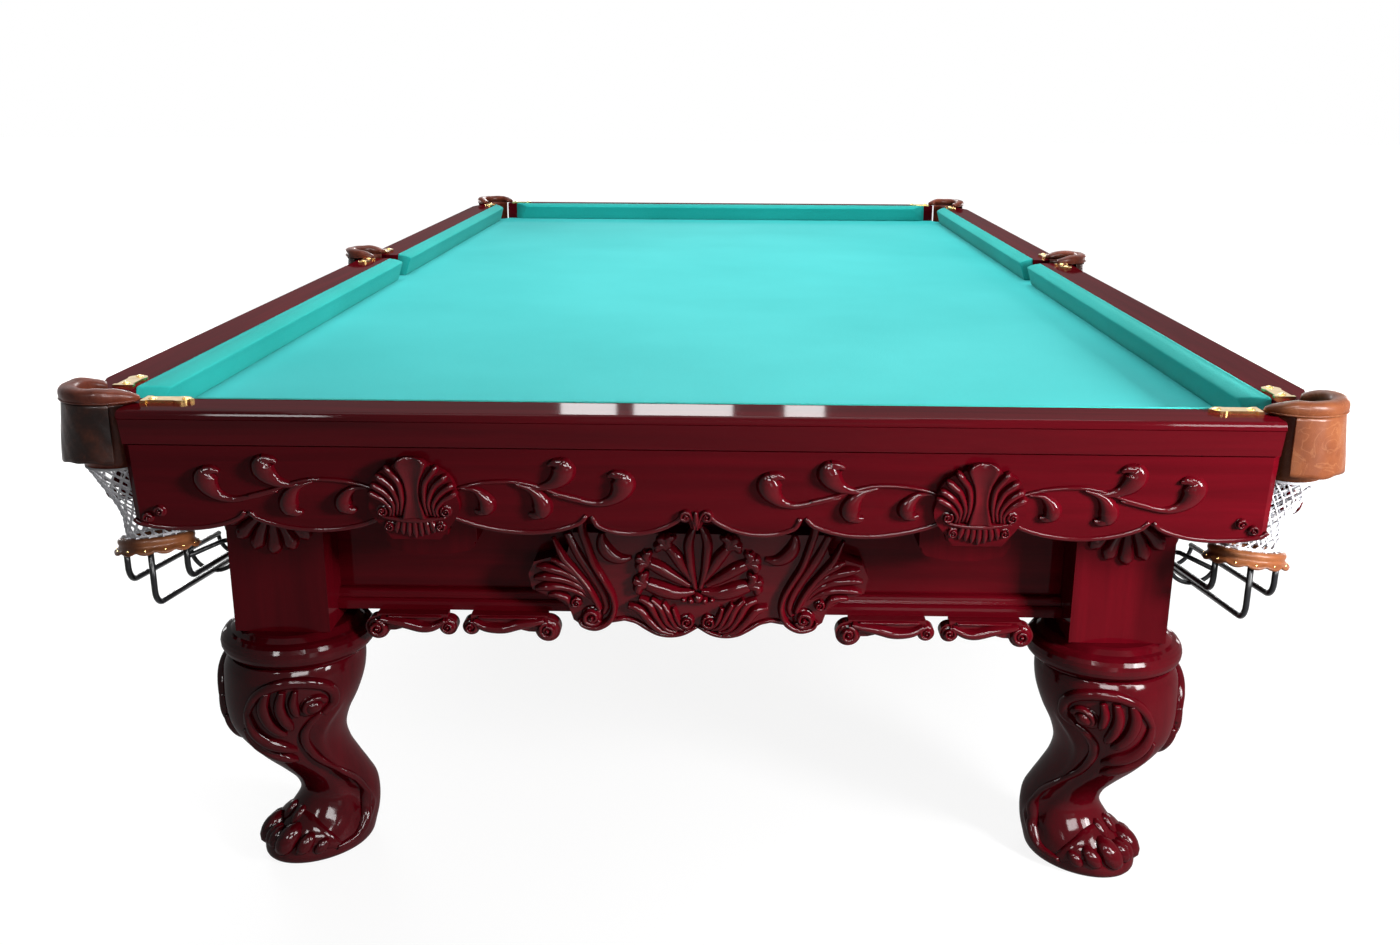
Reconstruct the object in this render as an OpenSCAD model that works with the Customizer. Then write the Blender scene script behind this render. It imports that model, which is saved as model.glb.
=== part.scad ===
// Russian billiards table with six netted pockets, carved aprons and cabriole legs.
// Millimetres. The origin is on the floor under the centre of the table.
// X runs across the table, Y along it and Z up.

/* [Playing field] */
// Width between the cushion noses
field_w = 1775; // [1500:5:1900]
// Length between the cushion noses
field_l = 3550; // [3000:5:3800]
// Height of the cloth above the floor
cloth_h = 815; // [760:1:850]
// Width of a corner mouth between the cushion noses
corner_mouth = 112; // [90:1:130]
// Width of a middle mouth between the cushion noses
mid_mouth = 88; // [80:1:100]

/* [Rails and cushions] */
// Width of a wooden rail seen from above
rail_w = 88; // [76:1:110]
// Top of a rail above the cloth
rail_h = 60; // [54:1:70]
// Lower edge of the rail's face above the cloth
rail_foot = 5; // [3:1:10]
// How far the face of a rail leans in from its top edge to its foot
rail_lean = 12; // [6:1:18]
// Radius of the rail's rounded top edge
rail_edge_r = 9; // [4:1:12]
// How far each rail stops short of the table's outer corner
corner_step = 126.5; // [115:0.5:150]
// Length of the bevel on the outer corner of a side rail
bevel_l = 134; // [60:1:200]
// Depth of that bevel
bevel_w = 40; // [20:1:52]
// Depth of a cushion from its nose to the wood
cushion_w = 38; // [30:1:50]
// Height of a cushion nose above the cloth
nose_h = 50; // [40:1:52]

/* [Bed] */
// Thickness of the slate
slate_t = 45; // [25:1:50]
// Thickness of the cloth
cloth_t = 1.5; // [1:0.5:3]
// Radius of a bolt that holds a rail to the slate
bolt_r = 5; // [4:0.5:6]

/* [Pockets] */
// Radius of a pocket hole inside its leather
hole_r = 46; // [40:1:52]
// Width of the leather collar around the hole
collar_w = 30; // [22:1:34]
// Height of the leather collar above the rail
collar_t = 26; // [16:1:32]
// How far below the cloth the leather skirt reaches
skirt_drop = 30; // [10:1:45]
// Thickness of the leather skirt
skirt_t = 4; // [3:0.5:6]
// Flare of the leather skirt from its top to its hem
skirt_flare = 9; // [0:1:14]
// Distance of a corner pocket's centre outside the side nose line
corner_dx = 49; // [40:1:60]
// Distance of a corner pocket's centre outside the end nose line
corner_dy = 31; // [25:1:45]
// Distance of a middle pocket's centre outside the nose line
mid_dx = 99.5; // [90:0.5:110]
// Length of a brass bracket
bracket_l = 80; // [50:1:110]
// Width of a brass bracket
bracket_w = 34; // [24:1:40]
// Thickness of a brass bracket
bracket_t = 5; // [3:0.5:8]
// Radius of a bracket screw
screw_r = 2.5; // [2:0.25:4]

/* [Nets and ball racks] */
// Outer radius of a net at its top
net_r = 49; // [44:1:56]
// How far below the cloth the top of a leather ring lies
ring_top = 168; // [150:1:200]
// Inner radius of a leather ring
ring_r = 44; // [40:1:50]
// Height of a leather ring
ring_h = 28; // [24:1:36]
// How far a ring lies inboard of its pocket
ring_in = 49; // [36:1:60]
// Radius of a rack's rods
rod_r = 5; // [3:0.5:7]
// Length of a rack along the table
rack_l = 330; // [200:5:420]
// Fall of a rack along its length
rack_fall = 40; // [10:1:50]
// Distance of a rack's side rods from its bottom rod, seen from above
guard_side = 42; // [40:1:46]
// Depth of the bottom rod below a ring
rod_drop = 82; // [76:1:110]

/* [Aprons] */
// Thickness of an apron board
apron_t = 26; // [18:1:32]
// How far the top of an apron is set back from the rail's edge
apron_inset = 16; // [14:1:24]
// Lean of an apron, in degrees
apron_lean = 6; // [0:0.5:8]
// Depth of an apron's deepest lobes below the cloth
apron_drop = 142; // [120:1:170]
// Height of the cusps between the lobes
cusp_h = 32; // [15:1:50]
// Radius of a carved shell
shell_r = 64; // [40:1:76]
// Distance of a shell from the middle of an end apron
shell_x = 440; // [380:1:500]

/* [Frame] */
// Thickness of an end or side beam
beam_t = 40; // [25:1:60]
// Depth of the beams' lower edge below the cloth
beam_drop = 302; // [270:1:330]
// How far a beam's face is set back from the leg blocks
beam_setback = 79; // [40:1:100]
// Height of the moulding under a beam
mould_h = 37; // [20:1:50]
// How far the moulding stands out from the beam
mould_t = 25; // [12:1:40]
// Depth of the scroll trim under the moulding
trim_h = 43; // [30:1:70]
// Thickness of the scroll trim and of the cartouches
trim_t = 22; // [14:1:30]
// Width of a corbel under the slate's edge
corbel_w = 150; // [100:1:180]
// How far a corbel stands out from its beam
corbel_l = 98; // [60:1:120]

/* [Legs and feet] */
// Distance of a corner leg's axis inside the side rail's edge
leg_in_x = 303.5; // [280:0.5:340]
// Distance of a corner leg's axis inside the end rail's edge
leg_in_y = 226; // [200:1:280]
// Width of a leg block
block_w = 163; // [140:1:180]
// Depth of a leg block's base below the cloth
block_drop = 361; // [345:1:400]
// Radius of the turned collar on a leg
collar_r = 133; // [118:1:145]
// Height of the turned collar
collar_h = 57; // [40:1:70]
// Radius of a levelling foot's disc
foot_r = 30; // [24:1:36]
// Thickness of that disc
foot_t = 10; // [6:1:14]
// Radius of a levelling foot's stud
stud_r = 8; // [6:0.5:10]
// Travel of a levelling foot
foot_travel = 25; // [10:1:30]

/* [Hidden] */
$fn = 48;

// Small gap left between pieces that sit beside each other
gap = 0.3;
// Colours seen in the photograph
mahogany = [0.32, 0.03, 0.08];
turquoise = [0.12, 0.62, 0.58];
leather = [0.66, 0.33, 0.19];
cord = [0.93, 0.93, 0.95];
brass = [0.80, 0.62, 0.28];
steel = [0.10, 0.10, 0.11];
slate = [0.30, 0.32, 0.34];
pine = [0.55, 0.40, 0.26];

// Lines of the table seen from above: nose, wood and outer edge
hx = field_w / 2;
hy = field_l / 2;
wx = hx + cushion_w;
wy = hy + cushion_w;
ox = wx + rail_w;
oy = wy + rail_w;
end_rail_half = ox - corner_step;
side_rail_end = oy - corner_step;

// Jaws of the mouths, as angles in the plan
corner_jaw = 49;
mid_jaw = 8;
corner_nose = corner_mouth / sqrt(2);
mid_back = mid_mouth / 2 - cushion_w * tan(mid_jaw);

// Pocket centres in the first quadrant
corner_c = [hx + corner_dx, hy + corner_dy];
mid_c = [hx + mid_dx, 0];
collar_out = hole_r + collar_w;
liner_t = 2.5;
// The collar is open over this angle on each side of the field
collar_open = 73;

// Levels below the cloth
slate_top = -cloth_t;
slate_low = slate_top - slate_t;
apron_top = rail_foot - apron_t * sin(apron_lean);
slate_in = apron_inset + apron_t * cos(apron_lean) + (rail_foot - slate_low) * tan(apron_lean) + gap;
slate_edge_x = ox - slate_in;
slate_edge_y = oy - slate_in;
mould_low = -beam_drop - mould_h;
trim_low = mould_low - trim_h;

// Leg axes and the faces of the beams between the legs
leg_x = ox - leg_in_x;
leg_y = oy - leg_in_y;
beam_y = leg_y + block_w / 2 - beam_setback;
beam_x = leg_x + block_w / 2 - beam_setback;
bay_l = leg_y - block_w;
bay_mid = leg_y / 2;
leg_top = -block_drop - collar_h;

function arc(r, a0, a1, n) = [for (i = [0 : n]) r * [cos(a0 + (a1 - a0) * i / n), sin(a0 + (a1 - a0) * i / n)]];
function shift(points, by) = [for (p = points) p + by];
function mix(a, b, t) = a + (b - a) * t;

// Everything above the floor is drawn from the cloth's level
module at_cloth() translate([0, 0, cloth_h]) children();
module to_quadrant(sx, sy) mirror([sx < 0 ? 1 : 0, 0, 0]) mirror([0, sy < 0 ? 1 : 0, 0]) children();
module four_ways() for (sx = [-1, 1], sy = [-1, 1]) to_quadrant(sx, sy) children();
// Swaps X and Y, so a piece drawn for a side also serves an end
module swap() mirror([1, -1, 0]) children();
// Extrudes an outline drawn in X and Z along +Y
module along_y(length) translate([0, length, 0]) rotate([90, 0, 0]) linear_extrude(length) children();

// Rail and cushion sections, drawn outwards from the wood line and from the nose line
module rail_section() {
    step = rail_w - apron_inset - apron_t - 2;
    polygon(concat(
        [[0, 0], [step, 0], [step, rail_foot], [rail_w - rail_lean, rail_foot],
         [rail_w - 3, rail_h - rail_edge_r - 5], [rail_w, rail_h - rail_edge_r - 3]],
        shift(arc(rail_edge_r, 0, 90, 5), [rail_w - rail_edge_r, rail_h - rail_edge_r]),
        [[0, rail_h]]));
}
module cushion_section() {
    polygon([[16, 0], [cushion_w, 0], [cushion_w, rail_h], [3, nose_h + 2], [0.8, nose_h + 1],
        [0, nose_h - 0.5], [0.5, nose_h - 4], [9, 20]]);
}

// Places of the bolts that hold each rail to the slate
rail_bolt_d = rail_w * 0.25;
side_bolt_y = [for (t = [0.09, 0.36, 0.63, 0.9]) mix(mid_c[1] + 60, side_rail_end - 60, t)];
end_bolt_x = [-700, -245, 245, 700] * (hx / 887.5);
bolt_depth = 34;
module bolt_places() {
    for (sx = [-1, 1], sy = [-1, 1], y = side_bolt_y) translate([sx * (wx + rail_bolt_d), sy * y, 0]) children();
    for (sy = [-1, 1], x = end_bolt_x) translate([x, sy * (wy + rail_bolt_d), 0]) children();
}
module bolt_holes() bolt_places() translate([0, 0, slate_low - 1]) cylinder(r = bolt_r + 0.5, h = slate_t + bolt_depth + 2);

// Places of the screws in the brass brackets, from the leather outwards
bracket_off = 20;
bracket_start = collar_out * cos(collar_open - 45) - 1;
screw_at = [14, bracket_l - 13];
screw_depth = 24;
module bracket_frames() {
    four_ways() {
        translate([corner_c[0] - bracket_start, wy + bracket_off, rail_h]) rotate([0, 0, 180]) children();
        translate([wx + bracket_off, corner_c[1] - bracket_start, rail_h]) rotate([0, 0, -90]) children();
        translate([mid_c[0] - collar_out * 0.16, collar_out * 0.99 + gap, rail_h]) rotate([0, 0, 90]) children();
    }
}
module screw_holes(r) bracket_frames() for (x = screw_at) translate([x, 0, -screw_depth]) cylinder(r = r, h = screw_depth + bracket_t + 1);

// Wooden rails
module side_rail(sx, sy) color(mahogany) at_cloth() difference() {
    to_quadrant(sx, sy) difference() {
        translate([wx, mid_back, 0]) along_y(side_rail_end - mid_back) rail_section();
        translate([0, 0, -1]) linear_extrude(rail_h + 2)
            polygon([[ox + 1, side_rail_end - bevel_l], [ox + 1, side_rail_end + 1],
                [ox - bevel_w, side_rail_end + 1], [ox - bevel_w, side_rail_end], [ox, side_rail_end - bevel_l]]);
        translate([corner_c[0], corner_c[1], -1]) cylinder(r = hole_r + liner_t + gap, h = rail_h + 2);
        translate([mid_c[0], 0, -1]) cylinder(r = hole_r + liner_t + gap, h = rail_h + 2);
    }
    bolt_holes();
    screw_holes(screw_r + gap);
}
module end_rail(sy) color(mahogany) at_cloth() difference() {
    to_quadrant(1, sy) swap() translate([wy, -end_rail_half, 0]) along_y(2 * end_rail_half) rail_section();
    for (sx = [-1, 1]) translate([sx * corner_c[0], sy * corner_c[1], -1]) cylinder(r = hole_r + liner_t + gap, h = rail_h + 2);
    bolt_holes();
    screw_holes(screw_r + gap);
}

// Cushions: rubber under cloth, cut at an angle where they meet a pocket
module side_cushion(sx, sy) color(turquoise) at_cloth() to_quadrant(sx, sy) intersection() {
    translate([hx, 0, 0]) along_y(hy) cushion_section();
    linear_extrude(rail_h + 1) polygon([[hx - 1, mid_mouth / 2], [hx, mid_mouth / 2], [wx + 1, mid_back],
        [wx + 1, hy - corner_nose + (cushion_w + 1) * tan(corner_jaw)], [hx, hy - corner_nose],
        [hx - 1, hy - corner_nose]]);
}
module end_cushion(sy) color(turquoise) at_cloth() to_quadrant(1, sy) intersection() {
    swap() translate([hy, -hx, 0]) along_y(2 * hx) cushion_section();
    nose = hx - corner_nose;
    back = nose + (cushion_w + 1) * tan(corner_jaw);
    linear_extrude(rail_h + 1) polygon([[-nose, hy - 1], [-nose, hy], [-back, wy + 1], [back, wy + 1],
        [nose, hy], [nose, hy - 1]]);
}

// Plan of the bed with its corners cut back and notched for the pockets
module bed_plan(notch) difference() {
    cut = corner_c[0] + corner_c[1] - 43;
    polygon([for (s = [[1, 1], [-1, 1], [-1, -1], [1, -1]], k = [0, 1])
        let (first = (s[0] * s[1] > 0) == (k == 0))
        first ? [s[0] * slate_edge_x, s[1] * (cut - slate_edge_x)] : [s[0] * (cut - slate_edge_y), s[1] * slate_edge_y]]);
    for (sx = [-1, 1]) {
        for (sy = [-1, 1]) translate([sx * corner_c[0], sy * corner_c[1]]) circle(r = notch);
        hull() for (far = [0, 90]) translate([sx * (mid_c[0] + far), 0]) circle(r = notch);
    }
}
module slate_slab(y0, y1) color(slate) at_cloth() difference() {
    translate([0, 0, slate_low]) linear_extrude(slate_t) intersection() {
        bed_plan(hole_r + liner_t + 1);
        translate([-ox, y0]) square([2 * ox, y1 - y0]);
    }
    bolt_holes();
}
slab_joint = hy / 3;
module bed_cloth() color(turquoise) at_cloth() difference() {
    translate([0, 0, slate_top]) linear_extrude(cloth_t) bed_plan(hole_r + liner_t + 0.6);
    bolt_holes();
}

// Leather pocket: a padded collar on the rails and a skirt that hangs outside them
module collar_ring(open) rotate([0, 0, 180 + open]) rotate_extrude(angle = 360 - 2 * open)
    translate([hole_r, rail_h]) polygon([[0, slate_low - rail_h], [liner_t, slate_low - rail_h], [liner_t, 0],
        [collar_w - 3, 0], [collar_w, 4], [collar_w, collar_t - 6], [collar_w - 5, collar_t], [6, collar_t],
        [0, collar_t - 4]]);
module skirt(a0, a1) rotate([0, 0, a0]) rotate_extrude(angle = a1 - a0)
    polygon([[collar_out - 8, rail_h + 4], [collar_out - 8 + skirt_flare, -skirt_drop],
        [collar_out - 8 + skirt_flare + skirt_t, -skirt_drop], [collar_out - 8 + skirt_t, rail_h + 4]]);
module apron_room() translate([0, wy - 20, -skirt_drop - 1])
    cube([end_half + gap, oy - apron_inset - wy + 20 + gap, skirt_drop + rail_foot + 1]);
module rail_plan(grow) {
    polygon([[wx - 20, mid_back - grow], [ox + grow, mid_back - grow], [ox + grow, side_rail_end - bevel_l],
        [ox - bevel_w + grow, side_rail_end + grow], [wx - 20, side_rail_end + grow]]);
    translate([0, wy - 20]) square([end_rail_half + grow, rail_w + 20]);
}
module corner_leather() color(leather) at_cloth() union() {
    translate(corner_c) rotate([0, 0, 45]) collar_ring(collar_open);
    difference() {
        translate(corner_c) skirt(-58, 138);
        translate([0, 0, -skirt_drop - 1]) linear_extrude(rail_h + skirt_drop + 5) rail_plan(gap);
        apron_room();
    }
}
module middle_leather() color(leather) at_cloth() union() {
    translate(mid_c) collar_ring(collar_open);
    difference() {
        translate(mid_c) skirt(-80, 80);
        for (sy = [-1, 1]) to_quadrant(1, sy)
            translate([0, 0, -skirt_drop - 1]) linear_extrude(rail_h + skirt_drop + 5) rail_plan(gap);
    }
}

// Brass brackets beside every collar and the screws through them
module bracket() difference() {
    linear_extrude(bracket_t) union() {
        translate([0, -bracket_w / 2]) square([9, bracket_w]);
        translate([0, -bracket_w * 0.38]) square([bracket_l - 16, bracket_w * 0.76]);
        translate([bracket_l - 20, 0]) circle(r = bracket_w * 0.46);
        polygon([[bracket_l - 16, -bracket_w * 0.38], [bracket_l, 0], [bracket_l - 16, bracket_w * 0.38]]);
    }
    for (x = screw_at) translate([x, 0, -1]) cylinder(r = screw_r + gap, h = bracket_t + 2);
}
module bracket_screw() {
    translate([0, 0, -screw_depth + 2]) cylinder(r = screw_r, h = screw_depth + bracket_t - 2);
    translate([0, 0, bracket_t]) intersection() {
        translate([0, 0, -7]) sphere(r = 10);
        cylinder(r = 6.5, h = 4);
    }
}
module metal_brackets() color(brass) at_cloth() bracket_frames() bracket();

// Net under a pocket: a soft funnel that leans in from the leather to its ring
function circle_at(c, r, z, k) = [for (i = [0 : 15]) let (x = r * cos(i * 22.5), y = r * sin(i * 22.5))
    [c[0] + x, c[1] + y, z + k * ring_lift(x, y)]];
function tube_faces(rings, sides) = concat(
    [for (k = [0 : rings - 1], i = [0 : sides - 1]) let (a = k * sides, b = ((k + 1) % rings) * sides, j = (i + 1) % sides)
        [a + i, b + i, b + j]],
    [for (k = [0 : rings - 1], i = [0 : sides - 1]) let (a = k * sides, b = ((k + 1) % rings) * sides, j = (i + 1) % sides)
        [a + i, b + j, a + j]]);
net_top = slate_low - gap;
net_low = -ring_top - 0.6;
net_t = 3;
ring_fall = 5;
ring_dip = 9;
// Height of a ring's plane beside its centre: it falls outwards and towards the rack
function ring_lift(x, y) = y * tan(ring_dip) - x * tan(ring_fall);
module net(c) {
    levels = [0, 0.35, 0.7, 1];
    waist = [0, -6, -5, ring_r + 7 - net_r];
    function level_c(t) = [c[0] - ring_in * t, c[1]];
    outer = [for (i = [0 : 3]) circle_at(level_c(levels[i]), net_r + waist[i], mix(net_top, net_low, levels[i]), levels[i])];
    inner = [for (i = [3 : -1 : 0]) circle_at(level_c(levels[i]), net_r + waist[i] - net_t, mix(net_top, net_low, levels[i]), levels[i])];
    points = [for (ring = concat(outer, inner), p = ring) p];
    color(cord) at_cloth() polyhedron(points, tube_faces(8, 16));
}
module corner_net(sx, sy) to_quadrant(sx, sy) net(corner_c);
module middle_net(sx) to_quadrant(sx, 1) net(mid_c);

// Leather ring that the net is laced to and the balls drop through
module ball_ring(c) color(leather) at_cloth() difference() {
    translate([c[0] - ring_in, c[1], -ring_top]) rotate([ring_dip, ring_fall, 0]) rotate_extrude()
        translate([ring_r, -ring_h]) polygon([[0, 4], [2, 0], [20, 0], [23.5, 3], [23.5, 7], [15, 13], [16, 18],
            [16, ring_h - 4], [11, ring_h - 1], [4, ring_h - 1], [0, ring_h - 6]]);
    for (k = [0 : 2]) translate([rod_foot(c, k)[0], rod_foot(c, k)[1], rod_top(k) - rod_seat - 12])
        cylinder(r = rod_r + gap, h = 13 + rod_seat);
}
module ball_rings() {
    for (sx = [-1, 1]) {
        for (sy = [-1, 1]) to_quadrant(sx, sy) ball_ring(corner_c);
        to_quadrant(sx, 1) ball_ring(mid_c);
    }
}

// Rack that the balls roll down: a bottom rod with a guard rod on each side, let into the ring
rack_in = 13;
rod_seat = 8;
seat_r = ring_r + 14;
wire_r = rod_r - 1;
guard_up = guard_side - wire_r;
// Guard, bottom rod and guard, from the inner side outwards
rod_x = [-guard_side, 0, guard_side];
function rod_y(k) = sqrt(seat_r * seat_r - pow(rod_x[k] - rack_in, 2));
function rod_foot(c, k) = [c[0] - ring_in + rod_x[k] - rack_in, c[1] + rod_y(k)];
function rod_top(k) = -ring_top - ring_h + rod_seat - 1 + ring_lift(rod_x[k] - rack_in, rod_y(k));
// Round bar swept along points that lie in a plane square to side
bar_sides = 10;
function along(points, i) = let (d = points[min(i + 1, len(points) - 1)] - points[max(i - 1, 0)]) d / norm(d);
function bar_points(points, r, side) = [for (i = [0 : len(points) - 1], k = [0 : bar_sides - 1])
    let (a = 360 * k / bar_sides, up = cross(along(points, i), side)) points[i] + r * (cos(a) * side + sin(a) * up)];
module bar(points, r, side) {
    n = bar_sides;
    last = len(points) - 1;
    polyhedron(bar_points(points, r, side), concat(
        [for (i = [0 : last - 1], k = [0 : n - 1]) let (a = i * n, j = (k + 1) % n) [a + k, a + n + j, a + j]],
        [for (i = [0 : last - 1], k = [0 : n - 1]) let (a = i * n, j = (k + 1) % n) [a + k, a + n + k, a + n + j]],
        [[for (k = [0 : n - 1]) k]], [[for (k = [n - 1 : -1 : 0]) last * n + k]]));
}
// One rod: straight down from the ring, round a bend and along the table with a slight fall
bend_r = 28;
function rod_line(foot, top, z, end_y, slope) = let (turn = 90 - slope, zc = z + bend_r * cos(slope), yc = foot[1] - bend_r)
    concat([[foot[0], foot[1], top]],
        [for (i = [0 : 5]) [foot[0], yc + bend_r * cos(turn * i / 5), zc - bend_r * sin(turn * i / 5)]],
        [[foot[0], end_y, z - (yc + bend_r * sin(slope) - end_y) * tan(slope)]]);
// Half ring that hangs under the three rods
function hoop_line(x, y, z) = [for (i = [0 : 12]) let (a = 178 + 184 * i / 12) [x + guard_side * cos(a), y, z + guard_side * sin(a)]];
module ball_rack(c, run, hang) {
    x0 = c[0] - ring_in - rack_in;
    low = -ring_top - ring_h - rod_drop;
    guard = low + guard_up;
    slope = atan(rack_fall / run);
    function level(z, back) = z - back * tan(slope);
    arm_y = c[1] - hang - 9;
    arm_z = level(guard, hang + 9);
    arm_x = leg_x + block_w / 2;
    head_z = -ring_top - ring_h - 6;
    head_y = min(rod_foot(c, 0)[1], leg_y + block_w / 2 - 15);
    color(steel) at_cloth() {
        for (k = [0 : 2]) {
            foot = rod_foot(c, k);
            bar(rod_line(foot, rod_top(k), level(k == 1 ? low : guard, c[1] - foot[1] + bend_r), c[1] - run, slope),
                rod_r, [1, 0, 0]);
        }
        for (back = [run - 6, hang + 30]) bar(hoop_line(x0, c[1] - back, level(guard, back)), wire_r, [0, 1, 0]);
        bar([[arm_x, head_y, head_z], [arm_x + 12, head_y, head_z], [rod_foot(c, 0)[0], rod_foot(c, 0)[1], head_z]],
            wire_r, [0, 0, 1]);
        bar([[arm_x, arm_y, arm_z], [x0 + rod_x[0], arm_y, arm_z]], wire_r, [0, 1, 0]);
    }
}
module corner_rack(sx, sy) to_quadrant(sx, sy) ball_rack(corner_c, rack_l, rack_l / 2);
module middle_rack(sx) to_quadrant(sx, 1) ball_rack(mid_c, rack_l * 0.62, block_w * 0.3);

// Lower outline of an apron: lobes that hang between cusps
low_z = -apron_drop;
cusp_z = low_z + cusp_h;
function lobe(x0, z0, x1, z1, skew) = [for (i = [0 : 9]) let (t = i / 9, s = pow(t, skew))
    [mix(x0, x1, t), mix(z0, z1, t) + (low_z - mix(z0, z1, t)) * pow(sin(180 * s), 0.55)]];
end_half = end_rail_half + 6;
k_end = end_half / 893;
function end_edge() = concat(
    lobe(end_half, low_z + 16, 708 * k_end, cusp_z, 0.8), lobe(708 * k_end, cusp_z, shell_x + 50, cusp_z, 1),
    [[shell_x + 48, low_z - 2], [shell_x - 48, low_z - 2]],
    lobe(shell_x - 50, cusp_z, 168 * k_end, cusp_z, 1.2), lobe(168 * k_end, cusp_z, 16, cusp_z + 8, 0.8), [[8, low_z + 14]]);
module shell_boss(x) translate([x, cusp_z - 4]) polygon(concat([[-38, -34], [38, -34]],
    [for (i = [0 : 45]) let (a = 180 * i / 45) (shell_r + 38 * sin(a)) * (0.94 + 0.06 * abs(cos(4.5 * (a - 90)))) * [cos(a), sin(a)]]));
module leaning_board(y_face) translate([0, y_face, apron_top]) rotate([-apron_lean, 0, 0])
    translate([0, 0, -apron_top]) children();
// A board with bevelled ends, relieved behind where it passes a net
module board(half, bevel, deep, relief) intersection() {
    translate([0, -apron_t, 0]) along_y(apron_t) children();
    translate([0, 0, -200]) linear_extrude(260) polygon([[2.3 * relief - half, -apron_t - 1],
        [half - 2.3 * relief, -apron_t - 1], [half, relief - apron_t], [half, -deep], [half - bevel, 0],
        [bevel - half, 0], [-half, -deep], [-half, relief - apron_t]]);
}
module end_apron(sy) color(mahogany) at_cloth() to_quadrant(1, sy) leaning_board(oy - apron_inset) union() {
    board(end_half, 13, apron_t / 2, apron_t * 0.4) polygon(concat([[-end_half, apron_top], [end_half, apron_top]], end_edge(),
        [for (p = [for (i = [len(end_edge()) - 1 : -1 : 0]) end_edge()[i]]) [-p[0], p[1]]]));
    for (s = [-1, 1]) translate([0, -1, 0]) along_y(11) shell_boss(s * shell_x);
}
side_len = side_rail_end - 12 - collar_out - 4;
side_half = side_len / 2;
side_shell = side_half * 0.5;
function side_edge() = concat(
    lobe(side_half, low_z + 44, side_half * 0.84, cusp_z, 0.8), lobe(side_half * 0.84, cusp_z, side_shell + 50, cusp_z, 1),
    [[side_shell + 48, low_z - 2], [side_shell - 48, low_z - 2]],
    lobe(side_shell - 50, cusp_z, side_half * 0.19, cusp_z, 1.2), lobe(side_half * 0.19, cusp_z, 16, cusp_z + 8, 0.8),
    [[8, low_z + 14]]);
module side_apron(sx, sy) color(mahogany) at_cloth() to_quadrant(sx, sy) swap()
    translate([collar_out + 4 + side_half, 0, 0]) leaning_board(ox - apron_inset) union() {
    board(side_half, (apron_t - 2) * bevel_l / bevel_w, apron_t - 2, 0) polygon(concat([[-side_half, apron_top], [side_half, apron_top]], side_edge(),
        [for (p = [for (i = [len(side_edge()) - 1 : -1 : 0]) side_edge()[i]]) [-p[0], p[1]]]));
    for (s = [-1, 1]) translate([0, -1, 0]) along_y(11) shell_boss(s * side_shell);
}

// Beams between the legs, with their mouldings, trims and corbels
tenon_l = 34;
tenon_t = beam_t / 2;
tenon_low = mould_low + 60;
tenon_h = slate_low - 60 - tenon_low;
module tenons(length, extra) translate([-length / 2 - tenon_l - extra, -beam_t / 2 - tenon_t / 2 - extra, tenon_low - extra])
    cube([length + 2 * tenon_l + 2 * extra, tenon_t + 2 * extra, tenon_h + 2 * extra]);
module beam_bar(length, low) {
    translate([-length / 2, -beam_t, low]) cube([length, beam_t, slate_low - low]);
    tenons(length, 0);
}
module all_tenons(extra) {
    for (sy = [-1, 1]) to_quadrant(1, sy) translate([0, beam_y, 0]) tenons(end_span, extra);
    four_ways() swap() translate([bay_mid, beam_x, 0]) tenons(bay_l, extra);
}
end_span = 2 * leg_x - block_w;
module end_beams() color(mahogany) at_cloth() for (sy = [-1, 1]) to_quadrant(1, sy)
    translate([0, beam_y, 0]) beam_bar(end_span, mould_low);
module side_beams() color(mahogany) at_cloth() four_ways() swap()
    translate([bay_mid, beam_x, 0]) beam_bar(bay_l, mould_low);
cross_w = 60;
cross_h = 150;
cross_end = leg_y - block_w / 2 - cross_w / 2;
module cross_beams() color(pine) at_cloth() for (t = [-1, -0.65, -0.32, 0, 0.32, 0.65, 1]) {
    half = t == 0 ? leg_x - block_w / 2 : beam_x - beam_t;
    translate([-half, t * cross_end - cross_w / 2, slate_low - cross_h]) cube([2 * half, cross_w, cross_h]);
}
module corbel() along_y(corbel_l) polygon(concat([[-corbel_w / 2, slate_low], [-corbel_w / 2, slate_low - 140]],
    shift(arc(16, 180, 270, 4), [-corbel_w / 2 + 20, slate_low - 142]), [[-20, slate_low - 164], [20, slate_low - 164]],
    shift(arc(16, 270, 360, 4), [corbel_w / 2 - 20, slate_low - 142]), [[corbel_w / 2, slate_low - 140], [corbel_w / 2, slate_low]]));
module corbels() color(mahogany) at_cloth() {
    for (sx = [-1, 1], sy = [-1, 1]) to_quadrant(1, sy) translate([sx * shell_x, beam_y, 0]) corbel();
    four_ways() for (s = [-1, 1]) swap() translate([bay_mid + s * bay_l * 0.27, beam_x, 0]) corbel();
}
module moulding(length) swap() translate([0, -length / 2, 0]) along_y(length) polygon(concat([[0, mould_low]],
    [[mould_t, mould_low], [mould_t, mould_low + 9]], shift(arc(9, 0, 90, 3), [mould_t - 9, mould_low + 10]),
    [[mould_t - 11, mould_low + 24]], shift(arc(7, 0, 90, 3), [mould_t - 18, mould_low + 26]), [[0, mould_low + mould_h - 3]]));
module beam_mouldings() color(mahogany) at_cloth() {
    for (sy = [-1, 1]) to_quadrant(1, sy) translate([0, beam_y, 0]) moulding(end_span);
    four_ways() swap() translate([bay_mid, beam_x, 0]) moulding(bay_l);
}

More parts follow.
